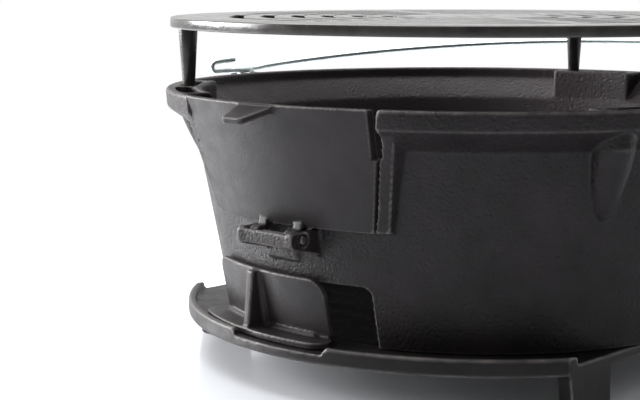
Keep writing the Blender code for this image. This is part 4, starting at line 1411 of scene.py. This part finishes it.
@dataclass
class DraftSlider:
    """Curved shutter on a flat runner, with an upright grip fin."""

    form: BowlForm
    plate_top_z: float
    half_angle: float = 19.0
    rest_turn: float = -11.0
    top_z: float = 0.0590
    thick: float = 0.0030
    gap: float = 0.0011
    corner: float = 0.0085
    runner_thick: float = 0.0032
    runner_radius: float = 0.1510
    runner_half_angle: float = 20.5
    runner_end_inset: float = 3.4
    fin_thick: float = 0.0050
    fin_top_reach: float = 0.0036
    fin_inset: float = 0.0012
    fillet: float = 0.0030
    fillet_reach: float = 0.30
    fillet_proud: float = 0.55
    fillet_width: float = 0.93
    skin: MouldSkin = field(default_factory=lambda: MouldSkin(grain=0.00065, ripple=0.0001, faces=120000))

    def panel(self, foot_z: float, proud: float, top_z: float, half_share: float) -> bpy.types.Object:
        """Curved panel that follows the bowl's wall.

        Args:
            foot_z: Height of its foot.
            proud: How far its face stands off the wall's clearance.
            top_z: Height of its top edge.
            half_share: Share of the shutter's width.

        Returns:
            The panel with round top corners.
        """
        radius = self.form.wall_radius
        profile = strip(radius, top_z, foot_z, self.gap + proud, -self.gap)
        half = radius(self.top_z) * sin(radians(self.half_angle)) * half_share
        window = rounded(mirrored([
            (half, foot_z - CUT_OVER),
            (half, top_z + HAIR / 10.0, self.corner),
        ]), 10)
        return front_patch("shutter", profile, window, 80, 28.0)

    def fin(self, plate_foot: float, runner_top: float, half: float, reach: float) -> bpy.types.Object:
        """Upright fin, or the wider fillet at its root.

        Args:
            plate_foot: Height of its foot.
            runner_top: Height of the runner's top.
            half: Half its thickness.
            reach: Share of its depth that is kept.

        Returns:
            The fin.
        """
        middle = self.gap + self.thick / 2.0
        fin_top = self.top_z - OVERLAP
        top_y = -self.form.wall_radius(self.top_z) - middle
        foot_y = -self.form.wall_radius(plate_foot) - middle
        tip_top = top_y - (self.thick / 2.0 + self.fin_top_reach) * reach
        tip_foot = foot_y + (-self.runner_radius + self.fin_inset - foot_y) * reach
        outline = [
            (foot_y, plate_foot),
            (top_y, fin_top),
            (tip_top, fin_top),
            (tip_foot, runner_top + OVERLAP),
            (tip_foot, plate_foot),
        ]
        return prism("slider_fin", outline, -half, half, Axis.X)

    def build(self, iron: bpy.types.Material) -> bpy.types.Object:
        """Model the slider and let it stand for its node.

        Args:
            iron: The finish of the casting.

        Returns:
            The slider.
        """
        foot_z = self.plate_top_z + SEAT_GAP
        runner_top = foot_z + self.runner_thick
        plate_foot = foot_z + self.runner_thick / 2.0
        inner = self.form.wall_radius(runner_top) + self.gap
        end = self.runner_half_angle - self.runner_end_inset
        outline = slot_outline((inner + self.runner_radius) / 2.0, (self.runner_radius - inner) / 2.0,
                               FRONT - end, FRONT + end, 32, 12)
        half_fin = self.fin_thick / 2.0
        half_fillet = self.fillet * 0.5
        slider = self.skin.cast([
            prism("runner", outline, foot_z, runner_top),
            self.panel(plate_foot, self.thick, self.top_z, 1.0),
            self.fin(plate_foot, runner_top, half_fin, 1.0),
            self.fin(plate_foot, runner_top, half_fin + half_fillet, self.fillet_reach),
            self.panel(plate_foot, self.thick + self.fillet * self.fillet_proud, runner_top + half_fillet,
                       self.fillet_width),
        ])
        placed(slider, turn=(0.0, 0.0, self.rest_turn))
        return dress(slider, "cast_draft_slider", "draft_slider", "slider", iron)


def flat_casting(name: str, outlines: list[list[Point]], low: float, high: float,
                 edge: float) -> bpy.types.Object:
    """Flat casting with rounded edges, from its edge and its slots.

    Args:
        name: The object's name.
        outlines: The edge first, then the slots.
        low: Height of its lower face.
        high: Height of its upper face.
        edge: Radius of its edges.

    Returns:
        The casting as a mesh.
    """
    curve = bpy.data.curves.new(name, "CURVE")
    curve.dimensions = "2D"
    curve.fill_mode = "BOTH"
    curve.extrude = (high - low) / 2.0 - edge
    curve.bevel_depth = edge
    curve.bevel_resolution = 3
    curve.offset = -edge
    for outline in outlines:
        add_line(curve, [(u, v, 0.0) for u, v in outline], True)
    piece = placed(meshed(curve), move=(0.0, 0.0, (low + high) / 2.0))
    close_up(piece)
    return piece


@dataclass
class Grates:
    """The coal grate on its ledge, and the grill grate on its three legs."""

    form: BowlForm
    leg_angles: tuple[float, ...]
    coal_play: float = 0.0020
    coal_rim: float = 0.0120
    coal_rib: float = 0.0080
    coal_slot: float = 0.0090
    coal_pitch: float = 0.0180
    grill_radius: float = 0.1650
    ring_slot: float = 0.0080
    ring_pitch: float = 0.0166
    ring_outer: float = 0.1296
    rings: int = 6
    spokes: int = 6
    spoke_width: float = 0.0090
    leg_circle: float = 0.1560
    leg_head_radius: float = 0.0053
    leg_foot_radius: float = 0.0033
    stud_radius: float = 0.0030
    stud_length: float = 0.0036
    stud_play: float = 0.0003
    stud_edge: float = 0.0004

    def build_coal(self, iron: bpy.types.Material) -> bpy.types.Object:
        """Model the coal grate and let it stand for its node.

        Args:
            iron: The finish of the casting.

        Returns:
            The coal grate.
        """
        low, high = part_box("coal_grate")
        radius = self.form.wall_radius(self.form.ledge_z) - self.form.wall_thick - self.coal_play
        outlines = [circle(radius, 144)]
        open_radius = radius - self.coal_rim
        half = self.coal_slot / 2.0
        rows = int(open_radius / self.coal_pitch) + 1
        for row in range(-rows, rows + 1):
            y = row * self.coal_pitch
            room = open_radius ** 2 - (abs(y) + half) ** 2
            if room <= (self.coal_rib * 2.0) ** 2:
                continue
            near = self.coal_rib / 2.0 + half
            right = arc(half, -90.0, 90.0, 10, (sqrt(room) - half, y)) + arc(half, 90.0, 270.0, 10, (near, y))
            outlines += [right, [(-u, v) for u, v in right]]
        grate = smoothed(flat_casting("coal", outlines, low.z, high.z, FINE_EDGE))
        return dress(grate, "cast_coal_grate", "coal_grate", "fuel_grate", iron)

    def build_grill(self, iron: bpy.types.Material) -> bpy.types.Object:
        """Model the grill grate and let it stand for its node.

        Args:
            iron: The finish of the casting.

        Returns:
            The grill grate.
        """
        low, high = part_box("grill_grate")
        outlines = [circle(self.grill_radius, 288)]
        half = self.ring_slot / 2.0
        share = 360.0 / self.spokes
        for row in range(self.rings):
            radius = self.ring_outer - row * self.ring_pitch
            margin = degrees((self.spoke_width / 2.0 + half) / radius)
            for spoke in range(self.spokes):
                start = FRONT + share * spoke + margin
                end = FRONT + share * (spoke + 1) - margin
                outlines.append(slot_outline(radius, half, start, end, max(4, round((end - start) / 2.0)), 8))
        grate = flat_casting("grill", outlines, low.z, high.z, FINE_EDGE)
        for angle in self.leg_angles:
            ring = circle(self.stud_radius + self.stud_play, 24, polar(self.leg_circle, angle))
            hole = prism("stud_hole", ring, low.z - 2.0 * OVERLAP, low.z + self.stud_length + self.stud_play)
            fitted(grate, hole, Fit.CARVE)
        return dress(smoothed(grate), "cast_grill_grate", "grill_grate", "grill", iron)

    def build_legs(self, iron: bpy.types.Material) -> list[bpy.types.Object]:
        """Turn the three tapered legs and let them stand for their nodes.

        Args:
            iron: The finish of the legs.

        Returns:
            The three legs.
        """
        made = []
        for label, angle in zip(LEG_NAMES, self.leg_angles):
            node = "grate_leg_" + label
            foot_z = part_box(node)[0].z
            head_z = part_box("grill_grate")[0].z - SEAT_GAP
            profile = rounded([
                (0.0, head_z + self.stud_length),
                (self.stud_radius, head_z + self.stud_length, self.stud_edge),
                (self.stud_radius, head_z),
                (self.leg_head_radius, head_z, TINY_EDGE),
                (self.leg_foot_radius, foot_z, EDGE),
                (0.0, foot_z),
            ])
            leg = placed(turned("leg", profile, 48), move=(*polar(self.leg_circle, angle), 0.0))
            made.append(dress(smoothed(leg), "turned_" + node, node, "grill", iron))
        return made


@dataclass
class Bail:
    """One bent wire with a coiled eye and a hook tail at each end."""

    spigot_z: float = 0.1410
    spigot_radius: float = 0.0030
    wire_radius: float = 0.0016
    half_width: float = 0.1812
    reach: float = 0.1865
    tilt: float = 5.3
    eye_pitch: float = 0.0040
    eye_play: float = 0.0004
    hook_forward: float = 0.0280
    hook_rise: float = 0.0058
    hook_tail: float = 0.0155
    tail_lift: Point = (0.0010, 0.0006)
    tail_bend: float = 0.45
    shank: tuple[Point, ...] = ((0.006, 0.0), (0.011, 0.0002))
    bow_start: float = 0.10
    bow_drop: float = 0.0005

    def path(self) -> list[Place]:
        """Centre line of the half on the +X side, from the hook's tail to the top of the bail.

        Returns:
            The line's points.
        """
        wrap = self.spigot_radius + self.eye_play + self.wire_radius
        level = self.spigot_z + wrap
        hook_x = self.half_width - self.eye_pitch
        bend = self.hook_rise / 2.0
        tail_z = level + self.hook_rise
        path = [
            (hook_x, -self.hook_forward + self.hook_tail, tail_z + self.tail_lift[0]),
            (hook_x, -self.hook_forward + self.hook_tail * self.tail_bend, tail_z + self.tail_lift[1]),
        ]
        for y, z in arc(bend, 90.0, 270.0, 16, (-self.hook_forward, level + bend)):
            path.append((hook_x, y, z))
        path.append((hook_x, -self.hook_forward * 0.5, level))
        for step, (y, z) in enumerate(arc(wrap, 90.0, -270.0, 40, (0.0, self.spigot_z))):
            path.append((hook_x + self.eye_pitch * step / 40, y, z))
        for y, lift in self.shank:
            path.append((self.half_width, y, level + lift))
        tilt = radians(self.tilt)
        steps = 90
        for step in range(steps + 1):
            swing = self.bow_start + (pi / 2.0 - self.bow_start) * step / steps
            across = self.half_width * cos(swing) / cos(self.bow_start)
            out = self.reach * sin(swing)
            path.append((across, out * cos(tilt), level - self.bow_drop + out * sin(tilt)))
        return path

    def build(self, wire: bpy.types.Material) -> bpy.types.Object:
        """Bend the wire and let it stand for its node.

        Args:
            wire: The finish of the wire.

        Returns:
            The bail.
        """
        half = self.path()
        curve = bpy.data.curves.new("bail", "CURVE")
        curve.dimensions = "3D"
        curve.bevel_depth = self.wire_radius
        curve.bevel_resolution = 3
        curve.use_fill_caps = True
        add_line(curve, half + [(-x, y, z) for x, y, z in reversed(half[:-1])], False)
        bail = meshed(curve)
        close_up(bail)
        return dress(smoothed(bail, 50.0), "bent_wire_bail", "bail_handle", "bail", wire)


@dataclass(frozen=True)
class Lamp:
    """One soft box.

    Args:
        name: The lamp's name.
        place: Where it hangs.
        width: Width of its face.
        height: Height of its face.
        power: Watts.
    """

    name: str
    place: Place
    width: float
    height: float
    power: float

    def hang(self, aim: Place) -> bpy.types.Object:
        """Hang the lamp so that it faces the aim.

        Args:
            aim: The place that it faces.

        Returns:
            The lamp's object.
        """
        data = bpy.data.lights.new(self.name, "AREA")
        data.shape = "RECTANGLE"
        data.size = self.width
        data.size_y = self.height
        data.energy = self.power
        lamp = bpy.data.objects.new(self.name, data)
        lamp.location = self.place
        lamp.rotation_euler = (Vector(aim) - Vector(self.place)).to_track_quat("-Z", "Y").to_euler()
        bpy.context.scene.collection.objects.link(lamp)
        return lamp


@dataclass
class Studio:
    """White floor, soft light and the camera of the photograph."""

    lens: float = 85.64
    sensor: float = 36.0
    eye: Place = (0.5114, -0.6664, 0.2044)
    look_down: float = 8.386
    pan: float = 43.248
    floor_size: float = 12.0
    floor_colour: str = "#e3e5ea"
    fade_start: float = 0.45
    fade_end: float = 0.80
    room_colour: str = "#ffffff"
    room_light: float = 0.43
    dark_side: Place = (0.609, -0.793, 0.0)
    dark_edges: Point = (-0.25, 0.45)
    dark_share: float = 0.10
    aim: Place = (0.0, 0.0, 0.10)
    lamps: tuple[Lamp, ...] = (
        Lamp("left_soft_box", (-1.38, -0.72, 0.46), 1.1, 0.6, 48.0),
        Lamp("top_soft_box", (-0.40, -0.05, 1.35), 1.5, 1.3, 33.0),
        Lamp("front_fill", (0.3, -1.7, 1.2), 0.9, 0.7, 3.0),
    )

    def camera(self) -> bpy.types.Object:
        """Set up the camera.

        Returns:
            The camera's object.
        """
        data = bpy.data.cameras.new("camera")
        data.lens = self.lens
        data.sensor_width = self.sensor
        camera = bpy.data.objects.new("camera", data)
        camera.location = self.eye
        camera.rotation_euler = (radians(90.0 - self.look_down), 0.0, radians(self.pan))
        bpy.context.scene.collection.objects.link(camera)
        bpy.context.scene.camera = camera
        return camera

    def world(self) -> None:
        """White room: full for the camera, softer as room light, and dim in gloss on its dark side."""
        world = bpy.data.worlds.new("studio")
        world.use_nodes = True
        tree = world.node_tree
        tree.nodes.clear()
        ray = add_node(tree, "ShaderNodeLightPath").outputs
        way = add_node(tree, "ShaderNodeTexCoord").outputs["Generated"]
        facing = add_node(tree, "ShaderNodeVectorMath", {0: way, 1: self.dark_side}, operation="DOT_PRODUCT")
        dim = ramp(tree, facing.outputs["Value"], *self.dark_edges, 1.0, self.dark_share)
        unlit = add_node(tree, "ShaderNodeMix", {
            "Factor": ray["Is Glossy Ray"], "A": self.room_light, "B": dim}).outputs["Result"]
        strength = add_node(tree, "ShaderNodeMix", {
            "Factor": ray["Is Camera Ray"], "A": unlit, "B": 1.0}).outputs["Result"]
        shade = add_node(tree, "ShaderNodeBackground", {
            "Color": linear(self.room_colour), "Strength": strength})
        add_node(tree, "ShaderNodeOutputWorld", {"Surface": shade.outputs["Background"]})
        bpy.context.scene.world = world

    def floor(self) -> bpy.types.Object:
        """White gloss floor that keeps the object's shadow and a soft reflection.

        Returns:
            The floor.
        """
        bpy.ops.object.select_all(action="DESELECT")
        bpy.ops.mesh.primitive_plane_add(size=self.floor_size)
        floor = bpy.context.object
        floor.name = "floor"
        made, tree = new_material("white_acrylic_floor")
        place = add_node(tree, "ShaderNodeTexCoord").outputs["Object"]
        away = add_node(tree, "ShaderNodeVectorMath", {0: place}, operation="LENGTH").outputs["Value"]
        ray = add_node(tree, "ShaderNodeLightPath").outputs
        fade = product(tree, ramp(tree, away, self.fade_start, self.fade_end), ray["Is Camera Ray"])
        gloss = add_node(tree, "ShaderNodeBsdfPrincipled", {
            "Base Color": linear(self.floor_colour), "Roughness": 0.12, "Specular IOR Level": 0.5})
        backdrop = add_node(tree, "ShaderNodeEmission", {"Color": linear(self.room_colour), "Strength": 1.0})
        whole = add_node(tree, "ShaderNodeMixShader", {
            0: fade, 1: gloss.outputs["BSDF"], 2: backdrop.outputs["Emission"]})
        add_node(tree, "ShaderNodeOutputMaterial", {"Surface": whole.outputs["Shader"]})
        floor.data.materials.append(made)
        return floor

    def build(self) -> None:
        """Set up camera, world, floor and lamps."""
        bpy.context.scene.view_settings.view_transform = "Standard"
        self.camera()
        self.world()
        self.floor()
        for lamp in self.lamps:
            lamp.hang(self.aim)


def main() -> None:
    """Build every piece in order, then the studio."""
    logging.basicConfig(level=logging.INFO, format="%(name)s: %(message)s")
    # The bowl's inward faces are painted paler: partly ash, partly painted light inside the bowl.
    body_iron = SandCastIron("sand_cast_iron_body", ash_and_inner_light=0.85).material()
    smooth_iron = SandCastIron("sand_cast_iron_smooth", dark="#1c191a", pale="#272324", grain_mm=1.0,
                               grain_height_mm=0.09, roughness=0.42, wear_and_highlight=0.50).material()
    grate_iron = SandCastIron("sand_cast_iron_grate", dark="#1e1c1b", pale="#2a2725", grain_height_mm=0.07,
                              roughness=0.20, wear_and_highlight=0.30, specular=0.5).material()
    # The plate's skin is darker than the other castings': painted shade for the plate's dim front and right.
    shaded_plate_iron = SandCastIron("sand_cast_iron_plate_painted_shade", dark="#151314", pale="#1e1b1c", grain_mm=1.0,
                              grain_height_mm=0.12, roughness=0.42).material()
    pin_steel = DrawnSteel("drawn_steel_pin", "#5c5956", 0.46).material()
    wire_steel = DrawnSteel("plated_steel_wire", "#dfe9e8", 0.34).material()
    form = BowlForm()
    door = DoorForm(form)
    hinge = HingeForm()
    bowl = FireBowl(form, door, hinge)
    plate = BasePlate(form)
    fuel_door = FuelDoor(form, door, hinge)
    slider = DraftSlider(form, plate.top_z)
    grates = Grates(form, bowl.leg_angles)
    bowl.build(body_iron)
    plate.build(shaded_plate_iron)
    fuel_door.build(smooth_iron)
    fuel_door.build_pin(pin_steel)
    slider.build(smooth_iron)
    grates.build_coal(grate_iron)
    grates.build_grill(grate_iron)
    grates.build_legs(grate_iron)
    Bail().build(wire_steel)
    Studio().build()


if __name__ == "__main__":
    main()
